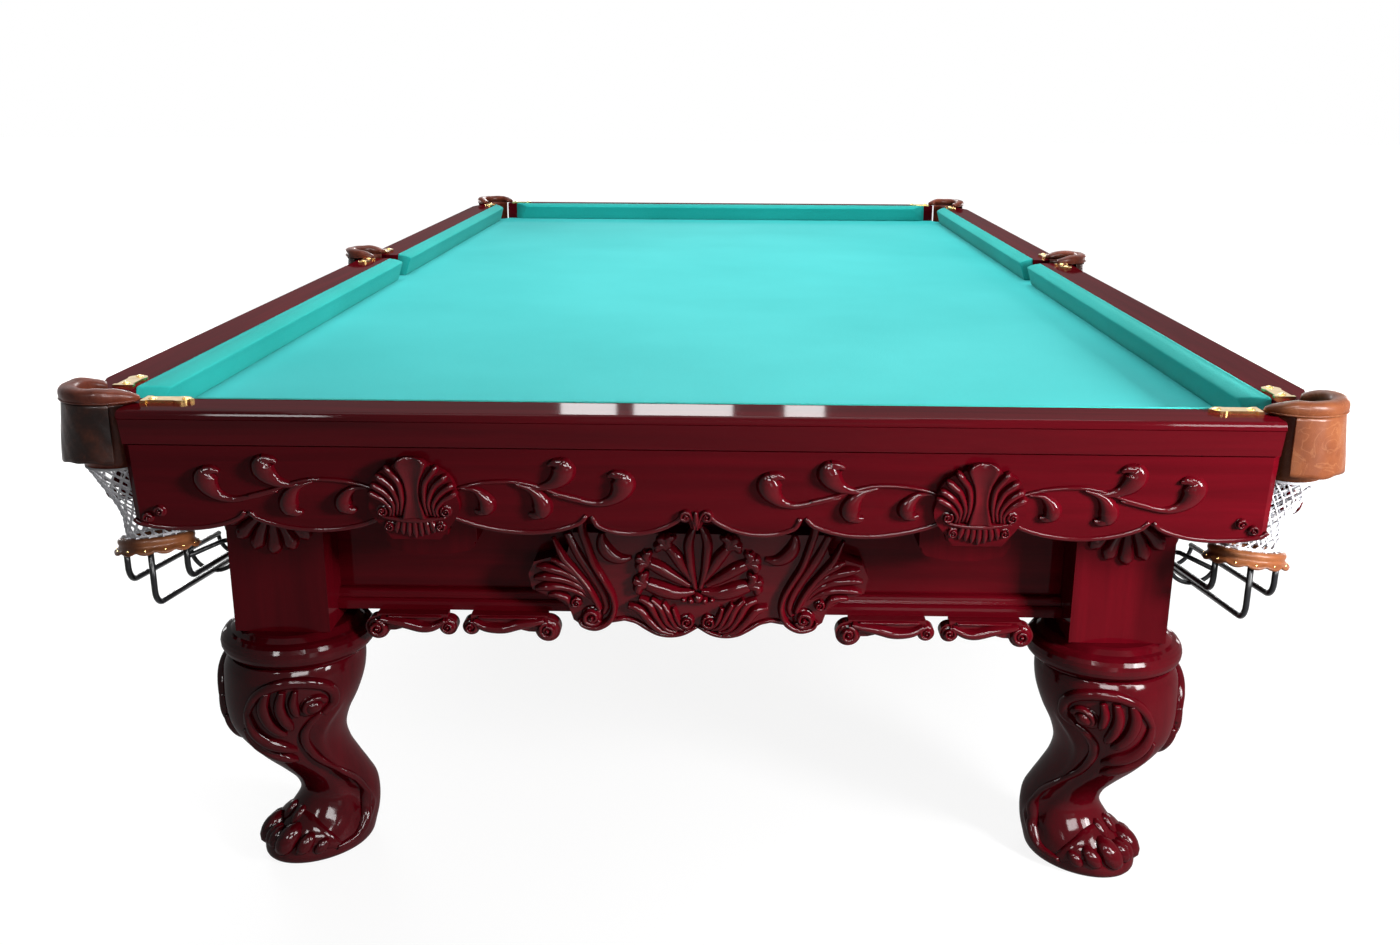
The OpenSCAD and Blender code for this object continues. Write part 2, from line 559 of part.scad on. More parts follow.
// Scroll trim: volutes joined by waving bands, with a carved cartouche in the middle
module scroll_band(x0, x1, r0, r1) {
    z = mould_low;
    translate([x0, z - trim_h * 0.58]) circle(r = r0);
    translate([x1, z - trim_h * 0.5]) circle(r = r1);
    polygon(concat([for (i = [0 : 12]) [mix(x0, x1, i / 12), z]],
        [for (i = [12 : -1 : 0]) [mix(x0, x1, i / 12), z - trim_h * (0.5 + 0.2 * sin(360 * i / 12 + 20))]]));
}
function cartouche_half() = [[0, slate_low - 140], [213, slate_low - 140], [222, -222], [250, -231], [280, -240], [290, -262],
    [284, -290], [244, -306], [222, -320], [214, -345], [196, -358], [170, -359], [148, -350], [126, -346], [106, -351],
    [88, -362], [68, -373], [45, -376], [22, -371], [0, -358]];
module cartouche_outline() {
    half = cartouche_half();
    s = (trim_low + 382) * [0, 1];
    polygon(concat([for (p = half) p + (p[1] < -325 ? s : [0, 0])],
        [for (i = [len(half) - 1 : -1 : 0]) let (p = half[i]) [-p[0], p[1]] + (p[1] < -325 ? s : [0, 0])]));
}
module trim_set(length) union() {
    along_y(trim_t) trim_outline(length);
    translate([0, -mould_t, 0]) along_y(mould_t + 1) intersection() {
        cartouche_outline();
        translate([-length / 2, mould_low + mould_h]) square([length, 200]);
    }
}
module trim_outline(length) {
    k = length / end_span;
    intersection() {
        for (s = [-1, 1]) mirror([s < 0 ? 1 : 0, 0]) {
            scroll_band(555 * k, 432 * k, 21, 16);
            scroll_band(259 * k, 392 * k, 22, 15);
        }
        translate([-length / 2, trim_low - 5]) square([length, trim_h + 5]);
    }
    cartouche_outline();
}
module scroll_trims() color(mahogany) at_cloth() {
    for (sy = [-1, 1]) to_quadrant(1, sy) translate([0, beam_y + mould_t, 0]) trim_set(end_span);
    four_ways() swap() translate([bay_mid, beam_x + mould_t, 0]) trim_set(bay_l);
}

// Legs: square block, turned collar and an S-shaped cabriole leg
module leg_places() {
    for (sx = [-1, 1]) {
        for (sy = [-1, 1]) translate([sx * leg_x, sy * leg_y, 0]) children();
        translate([sx * leg_x, 0, 0]) children();
    }
}
pin_r = 30;
pin_h = 45;
module leg_blocks() color(mahogany) at_cloth() difference() {
    leg_places() difference() {
        translate([-block_w / 2, -block_w / 2, -block_drop]) cube([block_w, block_w, block_drop + slate_low]);
        translate([0, 0, -block_drop - 1]) cylinder(r = pin_r + 0.1, h = pin_h + 1.3);
    }
    all_tenons(0.2);
}
module leg_collars() color(mahogany) at_cloth() leg_places() translate([0, 0, leg_top]) rotate_extrude($fn = 64)
    polygon(concat([[0, -pin_h], [pin_r, -pin_h], [pin_r, 0], [collar_r - 16, 0]],
        shift(arc(collar_h * 0.4, -70, 80, 8), [collar_r - collar_h * 0.4, collar_h * 0.42]),
        [[collar_r - 26, collar_h - 3], [collar_r - 30, collar_h],
        [pin_r, collar_h], [pin_r, collar_h + pin_h], [0, collar_h + pin_h]]));

// Height, outward shift of the axis, half width across and half width along the lean
leg_levels = [[1, 6, 116, 116], [0.95, 10, 122, 122], [0.87, 15, 121, 122], [0.78, 22, 112, 116], [0.69, 28, 98, 104],
    [0.6, 22, 85, 90], [0.51, 4, 76, 80], [0.42, -22, 69, 72], [0.34, -44, 63, 68], [0.265, -55, 60, 72],
    [0.19, -46, 68, 84], [0.12, -28, 78, 98], [0.06, -14, 82, 104], [0.02, -10, 80, 103], [0, -10, 74, 98]];
leg_sides = 20;
leg_steps = 2;
leg_len = cloth_h + leg_top;
function spline(a, b, c, d, t) = 0.5 * ((2 * b) + (c - a) * t + (2 * a - 5 * b + 4 * c - d) * t * t + (3 * b - a - 3 * c + d) * t * t * t);
function leg_level(k) = let (n = len(leg_levels) - 1, i = min(floor(k / leg_steps), n - 1), t = k / leg_steps - i,
    v = spline(leg_levels[max(i - 1, 0)], leg_levels[i], leg_levels[i + 1], leg_levels[min(i + 2, n)], t)) v;
leg_rings = (len(leg_levels) - 1) * leg_steps;
function leg_points() = [for (k = [0 : leg_rings], i = [0 : leg_sides - 1])
    let (v = leg_level(k), a = 360 * i / leg_sides) [v[1] + v[3] * cos(a), v[2] * sin(a), max(0, v[0]) * leg_len]];
function leg_faces() = concat(
    [for (k = [0 : leg_rings - 1], i = [0 : leg_sides - 1]) let (a = k * leg_sides, j = (i + 1) % leg_sides)
        [a + i, a + leg_sides + i, a + leg_sides + j]],
    [for (k = [0 : leg_rings - 1], i = [0 : leg_sides - 1]) let (a = k * leg_sides, j = (i + 1) % leg_sides)
        [a + i, a + leg_sides + j, a + j]],
    [[for (i = [0 : leg_sides - 1]) i]], [[for (i = [leg_sides - 1 : -1 : 0]) leg_rings * leg_sides + i]]);

// Levelling foot: a disc and stud that screw into a steel socket in the sole
foot_u = -12;
flange_t = 4;
flange_r = foot_r + 2;
sleeve_r = stud_r + 6;
sleeve_h = 56;
recess_h = foot_t + gap + flange_t;
stud_h = recess_h + sleeve_h - 6;
module cabriole() color(mahogany) difference() {
    polyhedron(leg_points(), leg_faces());
    translate([foot_u, 0, -1]) cylinder(r = foot_r + 4, h = recess_h + 1);
    translate([foot_u, 0, 0]) cylinder(r = sleeve_r + gap, h = recess_h + sleeve_h + gap);
    translate([0, 0, leg_len - pin_h - 0.3]) cylinder(r = pin_r + 0.1, h = pin_h + 2);
}
corner_turn = 45;
module legs_at(sy) for (sx = [-1, 1]) to_quadrant(sx, sy < 0 ? -1 : 1)
    translate([leg_x, sy == 0 ? 0 : leg_y, 0]) rotate([0, 0, sy == 0 ? 0 : corner_turn]) children();
module foot_place(sx, sy) to_quadrant(sx, sy < 0 ? -1 : 1)
    translate([leg_x, sy == 0 ? 0 : leg_y, 0]) rotate([0, 0, sy == 0 ? 0 : corner_turn]) translate([foot_u, 0, 0]) children();
module leveller(sx, sy) color(steel) foot_place(sx, sy) {
    cylinder(r = foot_r, h = foot_t);
    cylinder(r = stud_r, h = stud_h);
}
module leveller_socket() difference() {
    union() {
        translate([0, 0, foot_t + gap]) cylinder(r = flange_r, h = flange_t);
        translate([0, 0, foot_t + gap]) cylinder(r = sleeve_r, h = flange_t + sleeve_h);
    }
    cylinder(r = stud_r + 0.05, h = recess_h + sleeve_h + 1);
}

// Steel fasteners: rail bolts under the slate, bracket screws and levelling sockets
module frame_fasteners() color(steel) {
    at_cloth() bolt_places() {
        translate([0, 0, slate_low - 6]) cylinder(r = bolt_r + 4, h = 6);
        translate([0, 0, slate_low - 6]) cylinder(r = bolt_r, h = slate_t + cloth_t + bolt_depth + 4);
    }
    at_cloth() bracket_frames() for (x = screw_at) translate([x, 0, 0]) bracket_screw();
    for (sx = [-1, 1], sy = [-1, 0, 1]) foot_place(sx, sy) leveller_socket();
}

bed_cloth();
slate_slab(-oy, -slab_joint);  // slate_front
slate_slab(-slab_joint, slab_joint);  // slate_centre
slate_slab(slab_joint, oy);  // slate_rear
end_rail(-1);  // end_rail_front
end_rail(1);  // end_rail_rear
side_rail(-1, -1);  // side_rail_left_front
side_rail(-1, 1);  // side_rail_left_rear
side_rail(1, -1);  // side_rail_right_front
side_rail(1, 1);  // side_rail_right_rear
end_cushion(-1);  // cushion_front
end_cushion(1);  // cushion_rear
side_cushion(-1, -1);  // cushion_left_front
side_cushion(-1, 1);  // cushion_left_rear
side_cushion(1, -1);  // cushion_right_front
side_cushion(1, 1);  // cushion_right_rear
to_quadrant(-1, -1) corner_leather();  // pocket_leather_left_front
to_quadrant(-1, 1) middle_leather();  // pocket_leather_left_middle
to_quadrant(-1, 1) corner_leather();  // pocket_leather_left_rear
to_quadrant(1, -1) corner_leather();  // pocket_leather_right_front
middle_leather();  // pocket_leather_right_middle
corner_leather();  // pocket_leather_right_rear
corner_net(-1, -1);  // pocket_net_left_front
middle_net(-1);  // pocket_net_left_middle
corner_net(-1, 1);  // pocket_net_left_rear
corner_net(1, -1);  // pocket_net_right_front
middle_net(1);  // pocket_net_right_middle
corner_net(1, 1);  // pocket_net_right_rear
ball_rings();
corner_rack(-1, -1);  // ball_rack_left_front
middle_rack(-1);  // ball_rack_left_middle
corner_rack(-1, 1);  // ball_rack_left_rear
corner_rack(1, -1);  // ball_rack_right_front
middle_rack(1);  // ball_rack_right_middle
corner_rack(1, 1);  // ball_rack_right_rear
end_apron(-1);  // end_apron_front
end_apron(1);  // end_apron_rear
side_apron(-1, -1);  // side_apron_left_front
side_apron(-1, 1);  // side_apron_left_rear
side_apron(1, -1);  // side_apron_right_front
side_apron(1, 1);  // side_apron_right_rear
end_beams();
side_beams();
cross_beams();
corbels();
beam_mouldings();
scroll_trims();
leg_blocks();
leg_collars();
legs_at(-1) cabriole();  // legs_front
legs_at(0) cabriole();  // legs_middle
legs_at(1) cabriole();  // legs_rear
leveller(-1, -1);  // leveller_left_front
leveller(-1, 0);  // leveller_left_middle
leveller(-1, 1);  // leveller_left_rear
leveller(1, -1);  // leveller_right_front
leveller(1, 0);  // leveller_right_middle
leveller(1, 1);  // leveller_right_rear
metal_brackets();
frame_fasteners();
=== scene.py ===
# %% [markdown]
# # A billiards table with carved aprons and netted pockets
#
# The solids of the table come in as a fixed frame: slates, rails, beams, blocks, collars and feet. This script dresses
# them. It gives every wooden, steel and stone piece its finish, and makes the pieces whose shape a solid can't give:
# cloth, rubber cushions, leather pockets, knotted nets, riveted rings, cabriole legs and all the carving.
# %% Load the frame
import math
import bmesh
import bpy
import numpy as np
from mathutils import Matrix, Vector


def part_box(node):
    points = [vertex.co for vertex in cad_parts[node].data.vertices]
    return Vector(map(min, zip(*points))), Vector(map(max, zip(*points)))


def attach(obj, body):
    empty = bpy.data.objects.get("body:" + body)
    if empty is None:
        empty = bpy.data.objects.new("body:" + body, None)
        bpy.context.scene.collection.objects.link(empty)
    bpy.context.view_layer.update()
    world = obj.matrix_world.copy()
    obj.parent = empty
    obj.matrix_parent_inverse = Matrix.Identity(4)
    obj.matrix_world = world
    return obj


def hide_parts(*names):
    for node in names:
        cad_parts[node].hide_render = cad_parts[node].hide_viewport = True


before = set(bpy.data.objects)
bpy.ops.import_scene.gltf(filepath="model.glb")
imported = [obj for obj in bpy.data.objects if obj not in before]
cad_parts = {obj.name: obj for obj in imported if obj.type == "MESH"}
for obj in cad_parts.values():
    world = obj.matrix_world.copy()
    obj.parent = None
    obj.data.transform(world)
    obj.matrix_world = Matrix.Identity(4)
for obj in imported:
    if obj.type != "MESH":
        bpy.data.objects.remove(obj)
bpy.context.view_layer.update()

scene = bpy.context.scene
scene.view_settings.view_transform = "Standard"
MM = 0.001
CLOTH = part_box("bed_cloth")[1].z

# %% [markdown]
# ## The camera
#
# The picture was taken from a little right of the middle, above the end of the table, with the camera tipped down by
# sixteen degrees. A lens is set by its focal length on a 36 mm sensor, and the matrix below is written from the three
# directions that the camera sees: right, up and back.
# %% Camera
YAW, PITCH, ROLL = -0.0224, 0.283, 0.0051
FOCAL_PIXELS, PICTURE_PIXELS, SENSOR_MM = 1334.8471, 1400, 36
CAMERA_AT = (0.0505432, -3.859764, CLOTH + 0.542831)

ahead = Vector((math.sin(YAW) * math.cos(PITCH), math.cos(YAW) * math.cos(PITCH), -math.sin(PITCH)))
level = Vector((math.cos(YAW), -math.sin(YAW), 0))
above = level.cross(ahead)
right = math.cos(ROLL) * level + math.sin(ROLL) * above
up = math.cos(ROLL) * above - math.sin(ROLL) * level
lens = bpy.data.cameras.new("camera")
lens.lens, lens.sensor_width, lens.sensor_fit = FOCAL_PIXELS / PICTURE_PIXELS * SENSOR_MM, SENSOR_MM, "HORIZONTAL"
lens.clip_start, lens.clip_end = 0.05, 100
camera = bpy.data.objects.new("camera", lens)
scene.collection.objects.link(camera)
turn = Matrix((right, up, -ahead)).transposed().to_4x4()
camera.matrix_world = Matrix.Translation(CAMERA_AT) @ turn
scene.camera = camera
print("lens", round(lens.lens, 2), "mm")

# %% [markdown]
# ## Shader groups
#
# Gloss mahogany, billiard cloth and oiled leather are each used on many pieces, so the part of a material that varies
# over the surface is a node group with named inputs: it puts out a mask and a height, and the material decides what
# colour and how much relief they give. Coordinates come in from outside, so that the same grain can run along a rail,
# across an apron or down a leg.
# %% Node helpers
def put(tree, kind, at=(0, 0), **values):
    """Add a node, set its properties and its unlinked inputs by name or number."""
    node = tree.nodes.new(kind)
    node.location = at
    for key, value in values.items():
        if key[:2] == "i_":
            name = key[2:]
            node.inputs[int(name) if name.isdigit() else name.replace("_", " ")].default_value = value
        else:
            setattr(node, key, value)
    return node


def group(name, ins, outs):
    """A shader node group with named sockets; returns its tree, its input node and its output node."""
    tree = bpy.data.node_groups.new(name, "ShaderNodeTree")
    for label, kind, value in ins:
        socket = tree.interface.new_socket(name=label, in_out="INPUT", socket_type=kind)
        if value is not None:
            socket.default_value = value
    for label, kind in outs:
        tree.interface.new_socket(name=label, in_out="OUTPUT", socket_type=kind)
    return tree, put(tree, "NodeGroupInput", (-900, 0)), put(tree, "NodeGroupOutput", (700, 0))


def maths(tree, operation, a, b=None, clamp=False):
    """A Math node on one or two values, each a number or the output of another node."""
    node = put(tree, "ShaderNodeMath", operation=operation, use_clamp=clamp)
    for socket, value in zip(node.inputs, (a, b)):
        if isinstance(value, (int, float)):
            socket.default_value = value
        elif value is not None:
            tree.links.new(value, socket)
    return node.outputs[0]


def share(tree, a, part, b):
    """Part of the first value and the rest of the second."""
    return maths(tree, "ADD", maths(tree, "MULTIPLY", a, part), maths(tree, "MULTIPLY", b, 1 - part))


# %% Group for wood grain
VEC, FLT = "NodeSocketVector", "NodeSocketFloat"
GRAIN_STRETCH = (1.0, 1.0, 0.055)
wood_tree, wood_in, wood_out = group(
    "wood figure", [("Vector", VEC, None), ("Streaks", FLT, 26.0)], [("Figure", FLT), ("Pores", FLT)])
link = wood_tree.links.new
long_grain = put(wood_tree, "ShaderNodeVectorMath", (-700, 0), operation="MULTIPLY")
long_grain.inputs[1].default_value = GRAIN_STRETCH
link(wood_in.outputs["Vector"], long_grain.inputs[0])
bend = put(wood_tree, "ShaderNodeTexNoise", (-500, 200), i_Scale=3.0, i_Detail=2.0)
streak = put(wood_tree, "ShaderNodeTexNoise", (-500, -50), i_Detail=6.0, i_Roughness=0.62, i_Distortion=0.6)
pore = put(wood_tree, "ShaderNodeTexNoise", (-500, -320), i_Scale=420.0, i_Detail=2.0)
for noise in (bend, streak, pore):
    link(long_grain.outputs[0], noise.inputs["Vector"])
link(wood_in.outputs["Streaks"], streak.inputs["Scale"])
link(share(wood_tree, bend.outputs[0], 0.45, streak.outputs[0]), wood_out.inputs["Figure"])
open_pores = maths(wood_tree, "SUBTRACT", maths(wood_tree, "MULTIPLY", pore.outputs[0], 3.0), 1.55, clamp=True)
link(open_pores, wood_out.inputs["Pores"])

# %% Group for woven cloth
cloth_tree, cloth_in, cloth_out = group(
    "napped cloth", [("Vector", VEC, None), ("Threads", FLT, 900.0)], [("Tone", FLT), ("Height", FLT)])
link = cloth_tree.links.new
warp, weft = (put(cloth_tree, "ShaderNodeTexWave", (-500, y), wave_type="BANDS", bands_direction=way, i_Distortion=1.5,
                  i_Detail=1.0) for way, y in (("X", 200), ("Y", -50)))
nap = put(cloth_tree, "ShaderNodeTexNoise", (-500, -300), i_Scale=260.0, i_Detail=4.0, i_Roughness=0.7)
cloud = put(cloth_tree, "ShaderNodeTexNoise", (-500, -550), i_Scale=2.2, i_Detail=3.0)
for node in (warp, weft, nap, cloud):
    link(cloth_in.outputs["Vector"], node.inputs["Vector"])
for node in (warp, weft):
    link(cloth_in.outputs["Threads"], node.inputs["Scale"])
threads = maths(cloth_tree, "MULTIPLY", maths(cloth_tree, "ADD", warp.outputs[1], weft.outputs[1]), 0.5)
link(share(cloth_tree, threads, 0.35, nap.outputs[0]), cloth_out.inputs["Height"])
link(share(cloth_tree, cloud.outputs[0], 0.6, nap.outputs[0]), cloth_out.inputs["Tone"])

# %% Group for leather
hide_tree, hide_in, hide_out = group("leather grain", [("Vector", VEC, None), ("Pebbles", FLT, 520.0)],
                                     [("Tone", FLT), ("Creases", FLT), ("Height", FLT)])
link = hide_tree.links.new
pebble = put(hide_tree, "ShaderNodeTexVoronoi", (-500, 200), feature="DISTANCE_TO_EDGE")
link(hide_in.outputs["Pebbles"], pebble.inputs["Scale"])
stain = put(hide_tree, "ShaderNodeTexNoise", (-500, -50), i_Scale=16.0, i_Detail=5.0, i_Roughness=0.6)
vein = put(hide_tree, "ShaderNodeTexNoise", (-500, -300), i_Scale=22.0, i_Detail=3.0, i_Distortion=1.4)
for node in (pebble, stain, vein):
    link(hide_in.outputs["Vector"], node.inputs["Vector"])
off = maths(hide_tree, "ABSOLUTE", maths(hide_tree, "SUBTRACT", vein.outputs[0], 0.5))
crease = maths(hide_tree, "SUBTRACT", 1.0, maths(hide_tree, "MULTIPLY", off, 55.0), clamp=True)
link(stain.outputs[0], hide_out.inputs["Tone"])
link(crease, hide_out.inputs["Creases"])
pebbles = maths(hide_tree, "MULTIPLY", pebble.outputs[0], 1.6, clamp=True)
link(maths(hide_tree, "SUBTRACT", pebbles, maths(hide_tree, "MULTIPLY", crease, 0.35)), hide_out.inputs["Height"])
print("groups:", [g.name for g in (wood_tree, cloth_tree, hide_tree)])

# %% [markdown]
# ## Finishes
#
# The wood is mahogany under a red-brown stain and a gloss lacquer. The grain is faint under it, so the colour ramp is
# narrow, and the shine comes from a clear coat. Billiard cloth has no shine but a soft sheen from its nap. The pockets
# are leather that is waxed and creased, paler along its creases; all pockets but the right front one take darker copies
# of it, which are painted shade. The grain of a plank follows its length, so the mahogany is made once for each
# direction, and again with more lacquer for rails, turned pieces and carving; the turned pieces are darker too, and
# that darkness is painted shade.
# %% Material helpers
def ramp(tree, source, stops):
    """A colour ramp over a value, from stops of (place, colour)."""
    node = put(tree, "ShaderNodeValToRGB")
    band = node.color_ramp
    while len(band.elements) < len(stops):
        band.elements.new(0.5)
    for element, (place, colour) in zip(band.elements, stops):
        element.position, element.color = place, (*colour, 1)
    tree.links.new(source, node.inputs[0])
    return node.outputs[0]


def drive(tree, shader, socket, source, stops):
    """Set a socket of the shader from a value, through a colour ramp."""
    tree.links.new(ramp(tree, source, stops), shader.inputs[socket])


def grey(value):
    return (value, value, value)


def finish(name, **values):
    """A material with one Principled shader; values set its sockets. Returns the material, its tree and the shader."""
    material = bpy.data.materials.new(name)
    material.use_nodes = True
    tree = material.node_tree
    shader = tree.nodes["Principled BSDF"]
    for key, value in values.items():
        shader.inputs[key.replace("_", " ")].default_value = value
    return material, tree, shader


def place(tree, turn=(0, 0, 0)):
    """Object coordinates, turned so that a pattern runs along a piece."""
    spot = put(tree, "ShaderNodeTexCoord", (-1500, 0))
    mapping = put(tree, "ShaderNodeMapping", (-1300, 0), i_Rotation=turn)
    tree.links.new(spot.outputs["Object"], mapping.inputs["Vector"])
    return mapping.outputs[0]


def use(tree, inner, vector, **values):
    """Place one of the groups above in a material."""
    node = put(tree, "ShaderNodeGroup", (-1000, 0), node_tree=inner)
    tree.links.new(vector, node.inputs["Vector"])
    for key, value in values.items():
        node.inputs[key].default_value = value
    return node


def bump(tree, shader, height, strength, distance):
    node = put(tree, "ShaderNodeBump", (-300, -300), i_Strength=strength, i_Distance=distance)
    tree.links.new(height, node.inputs["Height"])
    tree.links.new(node.outputs[0], shader.inputs["Normal"])


# %% Mahogany
def mahogany(name, turn, dark, light, streaks=26.0, lacquer=0.07, haze=0.06):
    """Lacquered wood: lacquer says how strongly the clear coat mirrors, and haze how softly."""
    material, tree, shader = finish(
        name, Coat_Weight=lacquer, Coat_Roughness=haze, Specular_IOR_Level=0.0, Coat_IOR=1.5)
    figure = use(tree, wood_tree, place(tree, turn), Streaks=streaks)
    mid = tuple((a + b) / 2 for a, b in zip(dark, light))
    drive(tree, shader, "Base Color", figure.outputs["Figure"], [(0.36, dark), (0.52, mid), (0.66, light)])
    drive(tree, shader, "Roughness", figure.outputs["Pores"], [(0.0, grey(0.3)), (1.0, grey(0.48))])
    bump(tree, shader, figure.outputs["Figure"], 0.12, 0.0006)
    return material


deep, bright = (0.047, 0.0008, 0.0027), (0.104, 0.0017, 0.0056)
quarter = math.pi / 2
upright, lengthwise, crosswise = (0, 0, 0), (quarter, 0, 0), (0, quarter, 0)
wood_z = mahogany("mahogany upright", upright, deep, bright)
wood_y = mahogany("mahogany lengthwise", lengthwise, deep, bright)
wood_x = mahogany("mahogany crosswise", crosswise, deep, bright)
rail_y = mahogany("rail lengthwise", lengthwise, deep, bright, lacquer=0.1)
rail_x = mahogany("rail crosswise", crosswise, deep, bright, lacquer=0.1)
# A darker copy of the mahogany for the legs, their collars and the knee carving: the extra darkness is painted shade.
turned_wood_painted_shade = mahogany("mahogany turned", upright, (0.036, 0.0007, 0.0022), (0.076, 0.0014, 0.0044), 18.0, 0.15, 0.09)
carved = mahogany("mahogany carved", crosswise, deep, (0.102, 0.0016, 0.0054), 14.0, 0.2, 0.05)
print("mahogany:", len(bpy.data.materials), "finishes")

# %% Cloth, leather, cord
def cloth(name, dark, light):
    """Napped cloth with a soft sheen, clouded between two colours."""
    material, tree, shader = finish(
        name, Roughness=0.92, Sheen_Weight=0.1, Sheen_Roughness=0.4, Specular_IOR_Level=0.1,
        Sheen_Tint=(0.55, 1.0, 0.95, 1))
    weave = use(tree, cloth_tree, place(tree))
    drive(tree, shader, "Base Color", weave.outputs["Tone"], [(0.34, dark), (0.64, light)])
    bump(tree, shader, weave.outputs["Height"], 0.35, 0.0004)
    return material


bed_finish = cloth("cloth of the bed", (0.030, 0.475, 0.475), (0.048, 0.550, 0.550))
cushion_finish = cloth("cloth of the cushions", (0.014, 0.385, 0.355), (0.024, 0.455, 0.425))


def leather(name, dark, mid, light, crease_tone, shine=0.34):
    """Waxed leather in three tones and a fourth colour drawn along its creases; shine is its roughness between them."""
    material, tree, shader = finish(name, Coat_Weight=0.1, Coat_Roughness=0.2, Specular_IOR_Level=0.05)
    grain = use(tree, hide_tree, place(tree))
    base = ramp(tree, grain.outputs["Tone"], [(0.3, dark), (0.5, mid), (0.7, light)])
    lines = put(tree, "ShaderNodeMix", data_type="RGBA", blend_type="MIX")
    tree.links.new(base, lines.inputs["A"])
    lines.inputs["B"].default_value = (*crease_tone, 1)
    tree.links.new(maths(tree, "MULTIPLY", grain.outputs["Creases"], 0.08), lines.inputs["Factor"])
    tree.links.new(lines.outputs["Result"], shader.inputs["Base Color"])
    drive(tree, shader, "Roughness", grain.outputs["Tone"], [(0.3, grey(shine + 0.14)), (0.7, grey(shine - 0.06))])
    bump(tree, shader, grain.outputs["Height"], 0.3, 0.0006)
    return material


tan = leather("leather tan", (0.090, 0.023, 0.008), (0.133, 0.038, 0.014), (0.176, 0.058, 0.022), (0.55, 0.30, 0.15))
# Darker copies of the tan leather for the other pockets: the first is painted shade, and the second, for their skirts,
# deeper painted shade.
painted_shade_russet = leather("leather russet", (0.050, 0.010, 0.007), (0.13, 0.028, 0.015), (0.24, 0.055, 0.028),
                 (0.34, 0.12, 0.07), 0.3)
painted_deep_shade_umber = leather("leather umber", (0.012, 0.0035, 0.0025), (0.026, 0.007, 0.004), (0.10, 0.026, 0.013),
                (0.16, 0.05, 0.03), 0.3)
saddle = leather("leather of the rings", (0.115, 0.032, 0.011), (0.19, 0.060, 0.021), (0.28, 0.105, 0.043),
                 (0.2, 0.07, 0.03), 0.36)

cord_finish, tree, shader = finish("white cord", Roughness=0.75, Sheen_Weight=0.2)
twist = put(tree, "ShaderNodeTexWave", (-700, 0), bands_direction="DIAGONAL", i_Scale=260.0, i_Distortion=0.6)
tree.links.new(place(tree), twist.inputs["Vector"])
drive(tree, shader, "Base Color", twist.outputs[1], [(0.2, (0.60, 0.60, 0.66)), (0.7, (0.90, 0.90, 0.93))])
bump(tree, shader, twist.outputs[1], 0.5, 0.0006)
print("with cloth, leather and cord:", len(bpy.data.materials), "finishes")

# %% Metals, enamel, stone and bare wood
def hard(name, low, high, rough, scale, metallic=1.0, relief=0.15, mirror=0.5):
    """Metal, enamel or stone, smeared between two colours and two degrees of polish."""
    material, tree, shader = finish(name, Metallic=metallic, Specular_IOR_Level=mirror)
    smear = put(tree, "ShaderNodeTexNoise", (-700, 0), i_Scale=scale, i_Detail=4.0, i_Roughness=0.6)
    tree.links.new(place(tree), smear.inputs["Vector"])
    drive(tree, shader, "Base Color", smear.outputs[0], [(0.3, low), (0.7, high)])
    drive(tree, shader, "Roughness", smear.outputs[0], [(0.3, grey(rough + 0.1)), (0.7, grey(rough))])
    bump(tree, shader, smear.outputs[0], relief, 0.0004)
    return material


brass = hard("polished brass", (0.62, 0.40, 0.13), (0.86, 0.62, 0.26), 0.12, 60.0)
zinc = hard("zinc plated steel", (0.42, 0.42, 0.43), (0.62, 0.62, 0.63), 0.28, 90.0)
black = hard("black enamel", (0.006, 0.006, 0.007), (0.016, 0.016, 0.018), 0.2, 45.0, 0.0, mirror=0.12)
stone = hard("honed slate", (0.060, 0.066, 0.074), (0.115, 0.122, 0.132), 0.55, 18.0, 0.0, 0.4)

pine, tree, shader = finish("bare pine", Roughness=0.7)
figure = use(tree, wood_tree, place(tree, crosswise), Streaks=18.0)
drive(tree, shader, "Base Color", figure.outputs["Figure"], [(0.35, (0.30, 0.17, 0.07)), (0.65, (0.52, 0.34, 0.17))])
bump(tree, shader, figure.outputs["Figure"], 0.4, 0.0008)
print("finishes:", len(bpy.data.materials))

# %% Dress the solids
DRESS = [
    (rail_x, ("end_rail",)), (rail_y, ("side_rail",)), (wood_x, ("end_apron", "end_beams", "beam_mouldings")),
    (wood_y, ("side_apron", "side_beams")), (wood_z, ("corbels", "leg_blocks")), (carved, ("scroll_trims",)),
    (turned_wood_painted_shade, ("leg_collars", "legs_")), (stone, ("slate",)), (pine, ("cross_beams",)), (zinc, ("leveller",)),
    (brass, ("frame_fasteners", "metal_brackets")), (black, ("ball_rack",)), (saddle, ("ball_rings",)),
    (tan, ("pocket_leather",)), (cord_finish, ("pocket_net",)), (cushion_finish, ("cushion",)),
    (bed_finish, ("bed_cloth",))]
for name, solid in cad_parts.items():
    for material, starts in DRESS:
        if name.startswith(starts):
            solid.data.materials.clear()
            solid.data.materials.append(material)
            break
    else:
        raise RuntimeError("no finish for " + name)
print("solids dressed:", len(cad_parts))

